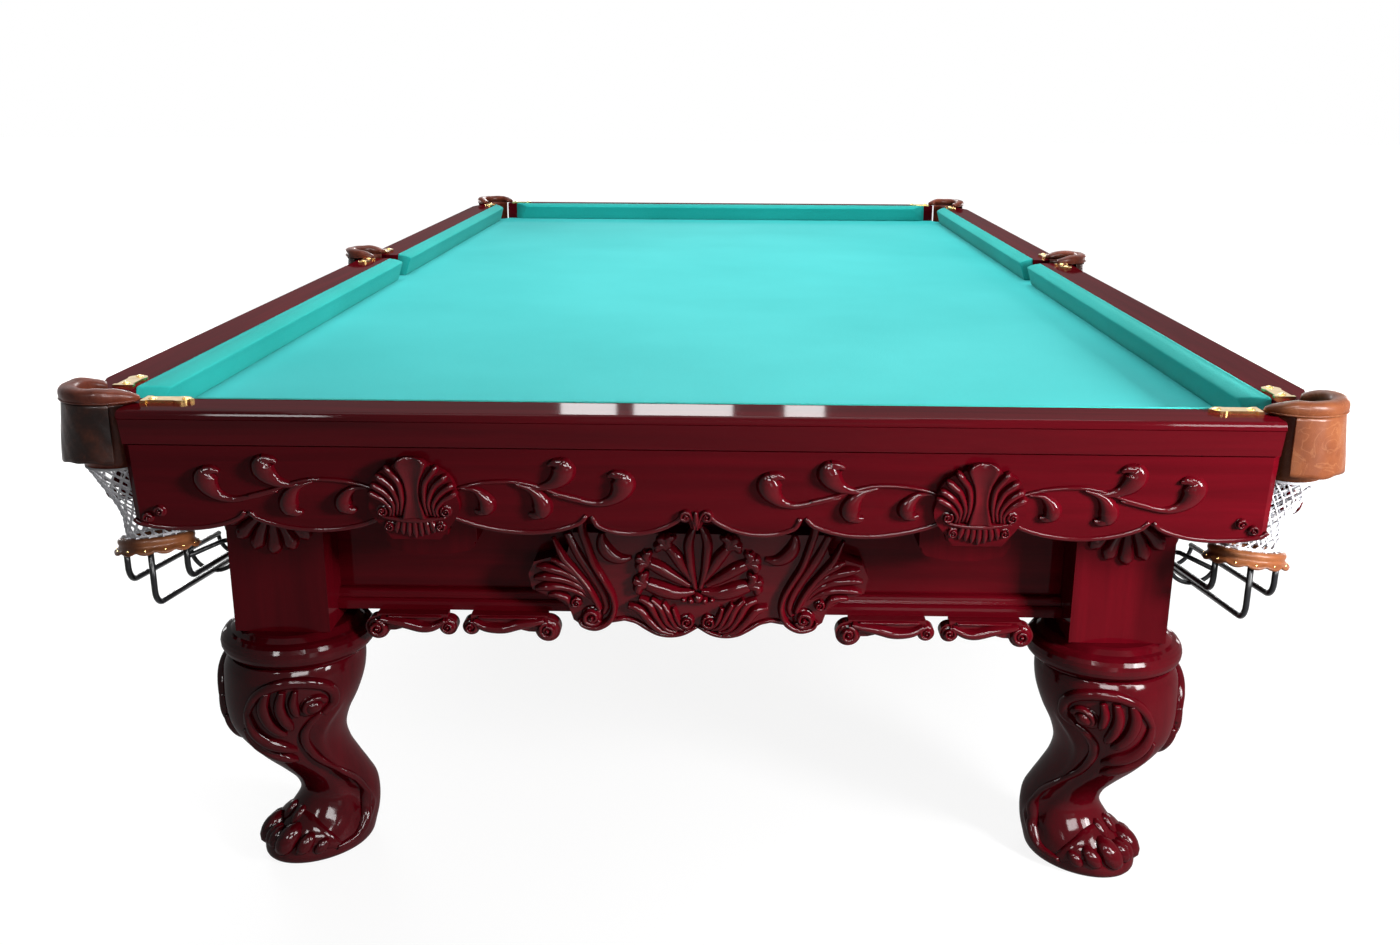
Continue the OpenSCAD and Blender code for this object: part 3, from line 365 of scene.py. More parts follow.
# %% [markdown]
# ## Building by numbers
#
# Most pieces here are a section swept along a line, or a sheet laid over a grid. One helper turns rows of points into a
# mesh, another makes a tube, and each piece is given its body, its finish and the solid it stands for in one place.
# %% Mesh helpers
def smooth_line(points, count, closed=False):
    """Catmull-Rom curve through the points, as count rows."""
    p = np.asarray(points, float)
    n = len(p)
    t = np.linspace(0, n if closed else n - 1, count, endpoint=not closed)
    k = np.minimum(t.astype(int), n - 1 if closed else n - 2)
    f = (t - k)[:, None]
    pick = (lambda i: p[i % n]) if closed else (lambda i: p[np.clip(i, 0, n - 1)])
    a, b, c, d = pick(k - 1), pick(k), pick(k + 1), pick(k + 2)
    return 0.5 * (2 * b + (c - a) * f + (2 * a - 5 * b + 4 * c - d) * f ** 2 + (3 * b - a - 3 * c + d) * f ** 3)


def spread(values, count):
    """One value kept, or a few stretched evenly, over count places."""
    values = np.atleast_1d(np.asarray(values, float))
    if len(values) == 1:
        return np.full(count, values[0])
    return np.interp(np.linspace(0, 1, count), np.linspace(0, 1, len(values)), values)


def skin(rows, columns, closed_rows=False, closed_columns=True, start=0, flip=False):
    """Quads over a grid of rows times columns."""
    faces = []
    for i in range(rows if closed_rows else rows - 1):
        for j in range(columns if closed_columns else columns - 1):
            a, b = start + i * columns + j, start + i * columns + (j + 1) % columns
            c, d = start + ((i + 1) % rows) * columns + (j + 1) % columns, start + ((i + 1) % rows) * columns + j
            faces.append((a, d, c, b) if flip else (a, b, c, d))
    return faces


def capped(rows, columns):
    """A skin that is closed round its columns, with a lid on its first row and on its last."""
    last = (rows - 1) * columns
    return skin(rows, columns) + [tuple(range(columns))[::-1], tuple(range(last, last + columns))]


class Shape:
    """Vertices and faces gathered from many small parts."""

    def __init__(self):
        self.points, self.faces, self.count = [], [], 0

    def add(self, points, faces):
        points = np.asarray(points, float)
        self.points.append(points)
        self.faces += [tuple(i + self.count for i in face) for face in faces]
        self.count += len(points)

    def make(self, name, material, stands_for=(), slot="mahogany", smooth=True):
        mesh = bpy.data.meshes.new(name)
        mesh.from_pydata(np.concatenate(self.points).tolist(), [], self.faces)
        mesh.materials.append(material)
        mesh.update()
        work = bmesh.new()
        work.from_mesh(mesh)
        bmesh.ops.recalc_face_normals(work, faces=work.faces)
        work.to_mesh(mesh)
        work.free()
        mesh.shade_smooth() if smooth else mesh.shade_flat()
        piece = bpy.data.objects.new(name, mesh)
        scene.collection.objects.link(piece)
        return settle(piece, stands_for)


def settle(piece, stands_for=()):
    """Let a piece ride on the table, and give it the solids that it stands for."""
    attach(piece, "table")
    if stands_for:
        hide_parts(*stands_for)
    return piece


def tube(shape, line, radius, sides=10, side=None):
    """A round bar along a line of points; side fixes the frame where the line is flat."""
    line = np.asarray(line, float)
    n = len(line)
    t = np.gradient(line, axis=0)
    t /= np.linalg.norm(t, axis=1)[:, None]
    u = np.zeros_like(t)
    u[0] = np.cross(t[0], side if side is not None else ((0, 0, 1) if abs(t[0][2]) < 0.9 else (1, 0, 0)))
    for i in range(n):
        if i:
            u[i] = u[i - 1]
        u[i] -= t[i] * np.dot(u[i], t[i])
        u[i] /= np.linalg.norm(u[i])
    v = np.cross(t, u)
    a = np.linspace(0, 2 * math.pi, sides, endpoint=False)
    outwards = u[:, None, :] * np.cos(a)[None, :, None] + v[:, None, :] * np.sin(a)[None, :, None]
    points = line[:, None, :] + spread(radius, n)[:, None, None] * outwards
    shape.add(points.reshape(-1, 3), capped(n, sides))


# %% Where the pockets are
CORNER_AT, MIDDLE_AT = (0.9365, 1.806), (0.987, 0.0)
HOLE, BAND = 0.046, 0.030
SIDES, ENDS = (("left", -1), ("right", 1)), (("front", -1), ("rear", 1))
# Of each pocket: name, side, end, centre in the quarter where both are positive, and whether it is a middle one
PLACES = [(side + "_" + end, sx, sy, MIDDLE_AT if end == "middle" else CORNER_AT, end == "middle")
          for side, sx in SIDES for end, sy in (("front", -1), ("middle", 1), ("rear", 1))]


def placed(points, sx, sy):
    """Points in millimetres over the cloth, in the quarter where x and y are positive, put into the quarter asked."""
    q = np.array(points, float) * MM
    q[:, 2] += CLOTH
    q[:, 0] *= sx
    q[:, 1] *= sy
    return q


print("pockets:", [p[0] for p in PLACES])

# %% [markdown]
# ## The bed cloth
#
# The bed is one piece of cloth stretched over three slabs of slate and cut out round the pockets. A flat sheet as thick
# as the cloth is enough: its softness is in the material. Its outline is the outline of the slates, notched by a circle
# at each pocket, so a quarter of it is drawn and mirrored twice.
# %% Bed cloth
low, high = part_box("bed_cloth")
bx, by = high.x, high.y
pocket_sum = CORNER_AT[0] + CORNER_AT[1]
cut = pocket_sum - 0.043
notch_r = HOLE + 0.0031


def notch(cx, cy, r, a0, a1, n):
    a = np.radians(np.linspace(a0, a1, n))
    return [(cx + r * math.cos(k), cy + r * math.sin(k)) for k in a]


reach = (pocket_sum - cut) / math.sqrt(2)
half_angle = math.degrees(math.acos(min(1, reach / notch_r)))
middle_stop = 90 + math.degrees(math.asin((MIDDLE_AT[0] - bx) / notch_r))
quarter_line = notch(*MIDDLE_AT, notch_r, 180, middle_stop, 14)
quarter_line += [(bx, y) for y in np.linspace(quarter_line[-1][1] + 0.03, cut - bx - 0.02, 6)] + [(bx, cut - bx)]
quarter_line += notch(*CORNER_AT, notch_r, 225 + half_angle, 225 - half_angle, 16)
quarter_line += [(cut - by, by)]
outline = quarter_line + [(-x, y) for x, y in quarter_line[::-1]]
outline += [(-x, -y) for x, y in quarter_line[1:]] + [(x, -y) for x, y in quarter_line[::-1]]
clean = [outline[0]]
for point in outline[1:]:
    if math.dist(point, clean[-1]) > 1e-5:
        clean.append(point)
if math.dist(clean[0], clean[-1]) < 1e-5:
    clean.pop()

# %% The sheet
bed = Shape()
n = len(clean)
rim = [(i, i + n, (i + 1) % n + n, (i + 1) % n) for i in range(n)]
bed.add([(x, y, z) for z in (high.z, low.z) for x, y in clean],
        [tuple(range(n)), tuple(range(2 * n - 1, n - 1, -1))] + rim)
bed_piece = bed.make("bed_cloth_sheet", bed_finish, stands_for=["bed_cloth"], slot="cloth", smooth=False)

# %% [markdown]
# ## Cushions
#
# A cushion is a strip of rubber glued to the rail, with cloth pulled over it. Its section has a sharp nose above
# the middle of the ball, a crowned top and a face that leans back to the bed. At a pocket the strip is cut at an
# angle and the cloth is folded round the cut. The section is swept along the rail, and every point of it stops where
# the slanting cut stops it, with two rings drawn in to round the edge.
# %% Cushions
SECTION = smooth_line([
    (38, 1), (38, 30), (37.6, 59.2), (30, 59.7), (18, 58.0), (8, 54.6), (2.6, 52.0), (0.5, 50.2), (0.2, 48.0),
    (1.6, 44.0), (5.5, 34), (10.5, 18), (15.2, 4), (18, 0.4), (28, 0.3)], 46, True)
SECTION_MIDDLE = (22.0, 30.0)
# How far back each ring of a rounded end lies, and how much it is drawn in
ROUNDED_END = ((0.0, 0.90), (0.6, 0.955), (2.4, 0.99), (6, 1.0))
HALF_X, HALF_Y, CORNER_CUT = 887.5, 1775.0, 112 / math.sqrt(2)
CORNER_JAW, MIDDLE_JAW, MIDDLE_HALF = 49, -8, 44


def cushion(name, solid, start, stop, jaw_start, jaw_stop, put_at):
    """Sweep the section from start to stop, each end leaning by its jaw angle; put_at places (along, depth, height)."""
    depth, height = SECTION[:, 0], SECTION[:, 1]
    middle_d, middle_h = SECTION_MIDDLE

    def row(end, jaw, sign, back, shrink):
        dd = middle_d + (depth - middle_d) * shrink
        hh = middle_h + (height - middle_h) * shrink
        rounding = 7.0 * np.exp(-dd / 5.0)
        along = end + sign * (dd * math.tan(math.radians(jaw)) - rounding - back)
        return np.column_stack([along, dd, np.maximum(hh, 0.3)])

    rows = [row(start, jaw_start, -1, *ring) for ring in ROUNDED_END]
    inner0, inner1 = rows[-1], row(stop, jaw_stop, 1, *ROUNDED_END[-1])
    rows += [inner0 * (1 - f) + inner1 * f for f in np.linspace(0, 1, 42)[1:-1]]
    rows += [row(stop, jaw_stop, 1, *ring) for ring in ROUNDED_END[::-1]]
    grid = np.array(rows)
    a = grid[:, :, 0]
    ripple = 0.10 * np.sin(a / 37.0) + 0.07 * np.sin(a / 13.0 + 1.3)
    grid[:, :, 2] += ripple * np.clip((grid[:, :, 2] - 20) / 30, 0, 1)
    strip = Shape()
    strip.add([put_at(*p) for p in grid.reshape(-1, 3)], capped(len(grid), len(depth)))
    piece = strip.make(name, cushion_finish, stands_for=[solid], slot="cushion_cloth")


for end, sy in ENDS:
    cushion(f"cushion_{end}_strip", f"cushion_{end}", CORNER_CUT - HALF_X, HALF_X - CORNER_CUT, CORNER_JAW, CORNER_JAW,
            lambda a, dd, h, sy=sy: (a * MM, sy * (HALF_Y + dd) * MM, CLOTH + h * MM))
for side, sx in SIDES:
    for end, sy in ENDS:
        cushion(f"cushion_{side}_{end}_strip", f"cushion_{side}_{end}", MIDDLE_HALF, HALF_Y - CORNER_CUT,
                MIDDLE_JAW, CORNER_JAW,
                lambda a, dd, h, sx=sx, sy=sy: (sx * (HALF_X + dd) * MM, sy * a * MM, CLOTH + h * MM))
print("cushions: 6")

# %% [markdown]
# ## Leather pockets
#
# Each pocket is a roll of padded leather that lies on the rails like a horseshoe, with a leather skirt hanging outside
# and a leather wall inside the hole. The roll is a rounded section swept round the horseshoe and pressed flat under
# itself, then creased by a few waves. The skirt flares towards a wavy hem.
# %% Helpers for the pockets
def wave(a, z, seed):
    """Low bumps in leather, in millimetres, from a few sines with fixed phases."""
    slow = 0.6 * np.sin(3 * a + seed) + 0.45 * np.sin(7 * a + 2.1 * seed + z / 17)
    return slow + 0.3 * np.sin(13 * a - seed + z / 9) + 0.2 * np.sin(23 * a + z / 5)


def two_layers(rows, columns, flip=False):
    """Faces of a thin sheet: two open grids, one behind the other, closed along all four edges."""
    far, last = rows * columns, (rows - 1) * columns
    faces = skin(rows, columns, closed_columns=False, flip=flip)
    faces += skin(rows, columns, closed_columns=False, start=far, flip=not flip)
    for j in range(columns - 1):
        for a, b, c, d in ((j, far + j, far + j + 1, j + 1),
                           (last + j, last + j + 1, far + last + j + 1, far + last + j)):
            faces.append((a, d, c, b) if flip else (a, b, c, d))
    for i in range(rows - 1):
        for k in (i * columns, i * columns + columns - 1):
            faces.append((k, k + columns, far + k + columns, far + k))
    return faces


# %% Roll, skirt and wall, each in millimetres
ROLL_R, ROLL_Z, ROLL_SIDES, ROLL_HALF = (HOLE + BAND / 2) / MM, 13.2, 30, (BAND / 2 / MM - 0.4, 12.6)
RAIL_TOP, SEAM_R, MOUTH = 60, 74.3, 73
SKIRT_ROWS, SKIRT_THICK, SKIRT_TOP, SKIRT_DROP = 16, 3.4, 63, 93
WALL_LAYERS, WALL_LEVELS = (46.3, 48.2), np.linspace(62, -46, 12)


def roll_points(bow, around, seed):
    """A rounded square swept round the horseshoe, flat underneath, lower and thinner at its two ends."""
    b = np.linspace(0, 2 * math.pi, ROLL_SIDES, endpoint=False)
    sec_r, sec_z = (np.sign(k) * np.abs(k) ** 0.8 * half for k, half in zip((np.cos(b), np.sin(b)), ROLL_HALF))
    points = []
    for i, a in enumerate(around):
        edge = min(i, len(around) - 1 - i)
        pinch = (0.80, 0.93, 0.98, 1.0)[min(edge, 3)]
        low_arm = 0.52 + 0.48 * math.sin(math.pi / 2 * min(1, edge / 15))
        rr = ROLL_R + sec_r * pinch + wave(a, sec_z, seed) * 0.5 * (sec_z > -8)
        zz = ROLL_Z * low_arm + sec_z * pinch * low_arm + 0.35 * np.sin(9 * a + seed + b)
        points += [bow(r, a, RAIL_TOP + z) for r, z in zip(rr, np.maximum(zz, 0.35))]
    return points


def skirt_points(bow, angles, seed):
    """The outer and the inner layer of a skirt that flares down to a wavy hem."""
    outer, inner = [], []
    for t in np.linspace(0, 1, SKIRT_ROWS):
        for a in angles:
            hem = (1.6 * math.sin(5 * a + seed) + 1.0 * math.sin(11 * a)) * t if t > 0.8 else 0
            z = SKIRT_TOP - SKIRT_DROP * t - hem
            r = 72.0 + 9.0 * t + float(wave(a, z, seed + 1)) * (0.25 + 0.6 * t)
            outer.append(bow(r, a, z))
            inner.append(bow(r - SKIRT_THICK, a, z))
    return outer + inner


def wall_points(bow, around):
    """The two layers of the leather inside the hole."""
    return [bow(r + 0.25 * math.sin(6 * a + z / 12), a, z) for r in WALL_LAYERS for z in WALL_LEVELS for a in around]


# %% Pockets
def pocket(name, sx, sy, centre, middle, material):
    seed = 1.7 * sx + 0.6 * sy + (2.2 if middle else 0)
    facing = 180 if middle else 225
    around = np.radians(np.linspace(facing + MOUTH, facing + 360 - MOUTH, 72))
    angles = np.radians(np.linspace(-60, 60, 60) if middle else np.linspace(-22.5, 112.0, 80))
    roll, skirt, wall = Shape(), Shape(), Shape()

    def bow(r, a, z):
        return (centre[0] / MM + r * math.cos(a), centre[1] / MM + r * math.sin(a), z)

    roll.add(placed(roll_points(bow, around, seed), sx, sy), capped(len(around), ROLL_SIDES))
    tube(roll, placed([bow(SEAM_R, a, RAIL_TOP + 5.0) for a in around[2:-2]], sx, sy), 0.0015, 6)
    roll_piece = roll.make("pocket_roll_" + name, material, stands_for=["pocket_leather_" + name], slot="leather")

    skirt.add(placed(skirt_points(bow, angles, seed), sx, sy), two_layers(SKIRT_ROWS, len(angles)))
    # The skirts of those pockets take the still darker copy: deeper painted shade.
    skirt_piece = skirt.make("pocket_skirt_" + name, painted_deep_shade_umber if material is painted_shade_russet else material, slot="leather")

    wall.add(placed(wall_points(bow, around), sx, sy), two_layers(len(WALL_LEVELS), len(around), flip=True))
    wall_piece = wall.make("pocket_wall_" + name, material, slot="leather")


# The right front pocket keeps the tan leather; the other pockets take the darker copy, which is painted shade.
for name, sx, sy, centre, middle in PLACES:
    pocket(name, sx, sy, centre, middle, tan if name == "right_front" else painted_shade_russet)
print("leather pockets: 6")

# %% [markdown]
# ## Nets
#
# A net is cord knotted into diamonds. It leans in from the hole to a leather ring, so the ball rolls towards the rack.
# Two families of strands wind round the funnel, one each way, and cross at knots. The strands are laid out as bare
# edges, and a Geometry Nodes tree gives them thickness and puts a knot wherever two cross.
# %% Tree that thickens strands and ties knots
def interface(tree, name, kind, value=None, way="INPUT"):
    """A named socket on a Geometry Nodes tree; returns the identifier by which a modifier sets it."""
    socket = tree.interface.new_socket(name=name, in_out=way, socket_type=kind)
    if value is not None:
        socket.default_value = value
    return socket.identifier


net_tree = bpy.data.node_groups.new("cord net", "GeometryNodeTree")
interface(net_tree, "Geometry", "NodeSocketGeometry")
NET_IN = {"radius": interface(net_tree, "Cord radius", FLT, 0.0012),
          "knot": interface(net_tree, "Knot radius", FLT, 0.0022),
          "material": interface(net_tree, "Material", "NodeSocketMaterial")}
interface(net_tree, "Geometry", "NodeSocketGeometry", way="OUTPUT")
link = net_tree.links.new
net_in, net_out = put(net_tree, "NodeGroupInput", (-900, 0)), put(net_tree, "NodeGroupOutput", (900, 0))
lines = put(net_tree, "GeometryNodeMeshToCurve", (-600, 100))
profile = put(net_tree, "GeometryNodeCurvePrimitiveCircle", (-600, -100), i_Resolution=6)
cords = put(net_tree, "GeometryNodeCurveToMesh", (-300, 100))
cords.inputs["Fill Caps"].default_value = True
tied = put(net_tree, "GeometryNodeInputNamedAttribute", (-900, -300), data_type="FLOAT")
tied.inputs["Name"].default_value = "knot"
is_tied = put(net_tree, "FunctionNodeCompare", (-700, -300), data_type="FLOAT", operation="GREATER_THAN")
is_tied.inputs["B"].default_value = 0.5
ball = put(net_tree, "GeometryNodeMeshIcoSphere", (-600, -500), i_Subdivisions=1)
dots = put(net_tree, "GeometryNodeInstanceOnPoints", (-300, -300))
joined = put(net_tree, "GeometryNodeJoinGeometry", (100, 0))
real = put(net_tree, "GeometryNodeRealizeInstances", (300, 0))
paint = put(net_tree, "GeometryNodeSetMaterial", (600, 0))
link(net_in.outputs["Geometry"], lines.inputs[0])
link(net_in.outputs["Cord radius"], profile.inputs["Radius"])
link(lines.outputs[0], cords.inputs["Curve"])
link(profile.outputs[0], cords.inputs["Profile Curve"])
link(net_in.outputs["Geometry"], dots.inputs["Points"])
link(tied.outputs["Attribute"], is_tied.inputs["A"])
link(is_tied.outputs[0], dots.inputs["Selection"])
link(net_in.outputs["Knot radius"], ball.inputs["Radius"])
link(ball.outputs[0], dots.inputs["Instance"])
link(dots.outputs[0], joined.inputs[0])
link(cords.outputs[0], joined.inputs[0])
link(joined.outputs[0], real.inputs[0])
link(real.outputs[0], paint.inputs["Geometry"])
link(net_in.outputs["Material"], paint.inputs["Material"])
link(paint.outputs[0], net_out.inputs[0])


def grown(name, seed_mesh, tree, values):
    """Run a Geometry Nodes tree on a mesh and return the result as a plain object."""
    source = bpy.data.objects.new(name + "_seed", seed_mesh)
    scene.collection.objects.link(source)
    modifier = source.modifiers.new("made", "NODES")
    modifier.node_group = tree
    for key, value in values.items():
        modifier[key] = value
    source.update_tag()
    result = bpy.data.meshes.new_from_object(source.evaluated_get(bpy.context.evaluated_depsgraph_get()))
    source.modifiers.remove(modifier)
    bpy.data.objects.remove(source)
    result.name = name
    result.shade_smooth()
    piece = bpy.data.objects.new(name, result)
    scene.collection.objects.link(piece)
    return piece


# %% Strands of a net
NET_TOP, RING_IN, RING_TOP, FALL, DIP = 0.0475, 0.049, 0.168, math.radians(5), math.radians(9)
STRANDS, TWIST, STEPS, HEM_STEPS = 16, 0.40, 26, 40


def funnel(centre, t, a, out=0.0):
    """A point of the net, t from the hole to the ring and a round it, pushed out by some metres."""
    slack = math.sin(math.pi * min(1, max(0, t)))
    waist = np.interp(t, [0, 0.35, 0.75, 1], [0, -0.008, -0.012, -0.0045])
    r = 0.0478 + waist + out - 0.0016 * slack * (1 + math.sin(3 * a + 1.0 + 9 * t))
    x, y = r * math.cos(a), r * math.sin(a)
    tilt = t * (y * math.tan(DIP) - x * math.tan(FALL))
    z = -NET_TOP - t * (RING_TOP - NET_TOP) + tilt - 0.003 * slack * math.sin(4 * a + 2)
    return (centre[0] - RING_IN * t + x, centre[1] + y, z)


def net(name, sx, sy, centre):
    verts, edges, knots = [], [], []

    def mark_point(t, a, out=0.0, knot=0.0):
        p = funnel(centre, t, a, out)
        verts.append((sx * p[0], sy * p[1], CLOTH + p[2]))
        knots.append(knot)

    for way in (-1, 1):
        for s in range(STRANDS):
            first = len(verts)
            for k in range(STEPS + 1):
                t = k / STEPS
                over = 0.0009 * way * math.cos(math.pi * 2 * TWIST * STRANDS * t)
                mark_point(t, 2 * math.pi * (s / STRANDS + way * TWIST * t), over)
            edges += [(first + k, first + k + 1) for k in range(STEPS)]
    crossings = 2 * TWIST * STRANDS
    for i in range(1, int(crossings)):
        for s in range(STRANDS):
            mark_point(i / crossings, 2 * math.pi * (s + (i % 2) * 0.5) / STRANDS, knot=1.0)
    for t, out in ((0.0, 0.0), (0.012, 0.0012), (0.985, 0.0), (1.0, 0.0005)):
        first = len(verts)
        for k in range(HEM_STEPS):
            mark_point(t, 2 * math.pi * k / HEM_STEPS, out)
        edges += [(first + k, first + (k + 1) % HEM_STEPS) for k in range(HEM_STEPS)]
    mesh = bpy.data.meshes.new("net_lines_" + name)
    mesh.from_pydata(verts, edges, [])
    mesh.attributes.new("knot", "FLOAT", "POINT").data.foreach_set("value", knots)
    sizes = {NET_IN["radius"]: 0.00155, NET_IN["knot"]: 0.0029, NET_IN["material"]: cord_finish}
    piece = grown("net_" + name, mesh, net_tree, sizes)
    settle(piece, stands_for=["pocket_net_" + name])
    return len(piece.data.polygons)


print("net faces:", [net(name, sx, sy, centre) for name, sx, sy, centre, _ in PLACES])

# %% [markdown]
# ## Leather rings
#
# The net is laced to a ring of stiff leather: a rolled rim and a skirt cut into scallops, with a rivet in each. The
# ring is a section turned round an axis that leans towards the rack, and its lower edge rises and falls. The rivets
# repeat, so they are placed by a Geometry Nodes tree on bare points.
# %% Tree that sets rivets
rivet_tree = bpy.data.node_groups.new("rivets", "GeometryNodeTree")
interface(rivet_tree, "Geometry", "NodeSocketGeometry")
RIVET_IN = {"size": interface(rivet_tree, "Head radius", FLT, 0.0022),
            "rise": interface(rivet_tree, "Head height", FLT, 0.5),
            "material": interface(rivet_tree, "Material", "NodeSocketMaterial")}
interface(rivet_tree, "Geometry", "NodeSocketGeometry", way="OUTPUT")
link = rivet_tree.links.new
r_in, r_out = put(rivet_tree, "NodeGroupInput", (-900, 0)), put(rivet_tree, "NodeGroupOutput", (900, 0))
head = put(rivet_tree, "GeometryNodeMeshUVSphere", (-600, -200), i_Segments=10, i_Rings=5)
head.inputs["Radius"].default_value = 1.0
way_out = put(rivet_tree, "GeometryNodeInputNamedAttribute", (-900, -300), data_type="FLOAT_VECTOR")
way_out.inputs["Name"].default_value = "facing"
aim = put(rivet_tree, "FunctionNodeAlignRotationToVector", (-600, -400), axis="Z")
size3 = put(rivet_tree, "ShaderNodeCombineXYZ", (-600, -600))
flat3 = put(rivet_tree, "ShaderNodeMath", (-750, -650), operation="MULTIPLY")
studs = put(rivet_tree, "GeometryNodeInstanceOnPoints", (-300, 0))
r_real = put(rivet_tree, "GeometryNodeRealizeInstances", (100, 0))
r_paint = put(rivet_tree, "GeometryNodeSetMaterial", (400, 0))
link(r_in.outputs["Geometry"], studs.inputs["Points"])
link(head.outputs[0], studs.inputs["Instance"])
link(way_out.outputs["Attribute"], aim.inputs["Vector"])
link(aim.outputs[0], studs.inputs["Rotation"])
link(r_in.outputs["Head radius"], size3.inputs[0])
link(r_in.outputs["Head radius"], size3.inputs[1])
link(r_in.outputs["Head radius"], flat3.inputs[0])
link(r_in.outputs["Head height"], flat3.inputs[1])
link(flat3.outputs[0], size3.inputs[2])
link(size3.outputs[0], studs.inputs["Scale"])
link(studs.outputs[0], r_real.inputs[0])
link(r_real.outputs[0], r_paint.inputs["Geometry"])
link(r_in.outputs["Material"], r_paint.inputs["Material"])
link(r_paint.outputs[0], r_out.inputs[0])


def rivets(name, points, facing, size, rise, material):
    """Set a rivet head on each point, turned the way that facing says."""
    mesh = bpy.data.meshes.new(name + "_points")
    mesh.from_pydata([tuple(p) for p in points], [], [])
    mark = mesh.attributes.new("facing", "FLOAT_VECTOR", "POINT")
    mark.data.foreach_set("vector", np.asarray(facing, float).reshape(-1))
    sizes = {RIVET_IN["size"]: size, RIVET_IN["rise"]: rise, RIVET_IN["material"]: material}
    return settle(grown(name, mesh, rivet_tree, sizes))


# %% Rings
SCALLOPS, RING_STEPS, LACES = 13, 144, 16
RING_SECTION = smooth_line([
    (44.3, -22), (44.2, -12), (44.5, -6), (46.6, -2.2), (51, -0.8), (56, -1.7), (59.2, -4.6), (59.8, -9), (58.4, -13),
    (60, -16.5), (63.4, -19.6), (66.4, -22.6), (67.2, -25.6), (64.5, -27.4), (58, -24.5), (52, -23.5), (47, -24)],
    34, True)
LACE = ((43.4, -12, -0.05), (43.6, -6, -0.03), (46.2, -1.6, 0), (50.5, 0.2, 0.02), (54, -0.4, 0.04))


def ring_place(sx, sy, centre, r, a, z):
    """A point of a ring from its radius, angle and height in millimetres, on an axis that leans towards the rack."""
    x, y = r * math.cos(a), r * math.sin(a)
    yy, up_z = y * math.cos(DIP) - z * math.sin(DIP), y * math.sin(DIP) + z * math.cos(DIP)
    xx, zz = x * math.cos(FALL) + up_z * math.sin(FALL), up_z * math.cos(FALL) - x * math.sin(FALL)
    return (sx * (centre[0] - RING_IN + xx * MM), sy * (centre[1] + yy * MM), CLOTH - RING_TOP + zz * MM)


rings, lacing, points, facing = Shape(), Shape(), [], []
for name, sx, sy, centre, _ in PLACES:
    grid = []
    for k in range(RING_STEPS):
        a = 2 * math.pi * k / RING_STEPS
        between = 1 - abs(math.sin(SCALLOPS / 2 * a)) ** 0.6
        for r, z in RING_SECTION:
            down = max(0.0, (-z - 16) / 11) * (r > 58.5)
            height = min(z + 6.0 * down * between, -0.8)
            grid.append(ring_place(sx, sy, centre, r - 2.4 * down * between, a, height))
    rings.add(grid, skin(RING_STEPS, len(RING_SECTION), closed_rows=True))
    for k in range(SCALLOPS):
        a = 2 * math.pi * (k + 0.5) / SCALLOPS
        points.append(ring_place(sx, sy, centre, 63.6, a, -19.4))
        near, far = (Vector(ring_place(sx, sy, centre, r, a, z)) for r, z in ((58, -25), (64, -19)))
        facing.append(tuple((far - near).normalized()))
    for k in range(LACES):
        a = 2 * math.pi * (k + 0.5) / LACES
        loop = [ring_place(sx, sy, centre, r, a + turned, z) for r, z, turned in LACE]
        tube(lacing, smooth_line(loop, 10), 0.0013, 6)
rings.make("rings_leather", saddle, stands_for=["ball_rings"], slot="ring_leather")
rivets("rings_rivets", points, facing, 0.0019, 0.55, brass)
lacing.make("rings_lacing", cord_finish, slot="net_cord")
print("rings: 6, rivets:", len(points))

# %% [markdown]
# ## Ball racks
#
# Under each ring three rods run along the table, one for the balls to roll on and two to keep them in, tied by half
# rings underneath. They are tubes swept along the lines that the solids follow.
# %% Racks
# In millimetres. A rack runs from its ring towards the middle of the table, or to the front at a middle pocket
LEG_X, LEG_Y, BLOCK_HALF = 710.0, 1675.0, 81.5
ROD_X, ROD_R, TIE_R, BEND_R = (-42.0, 0.0, 42.0), 5, 4, 28
RING_FOOT, ROD_RING, RACK_OUT = -168 - 28, 58, 49 + 13
ROD_LOW, GUARD_UP, RACK_FALL = RING_FOOT - 82, 38, 40


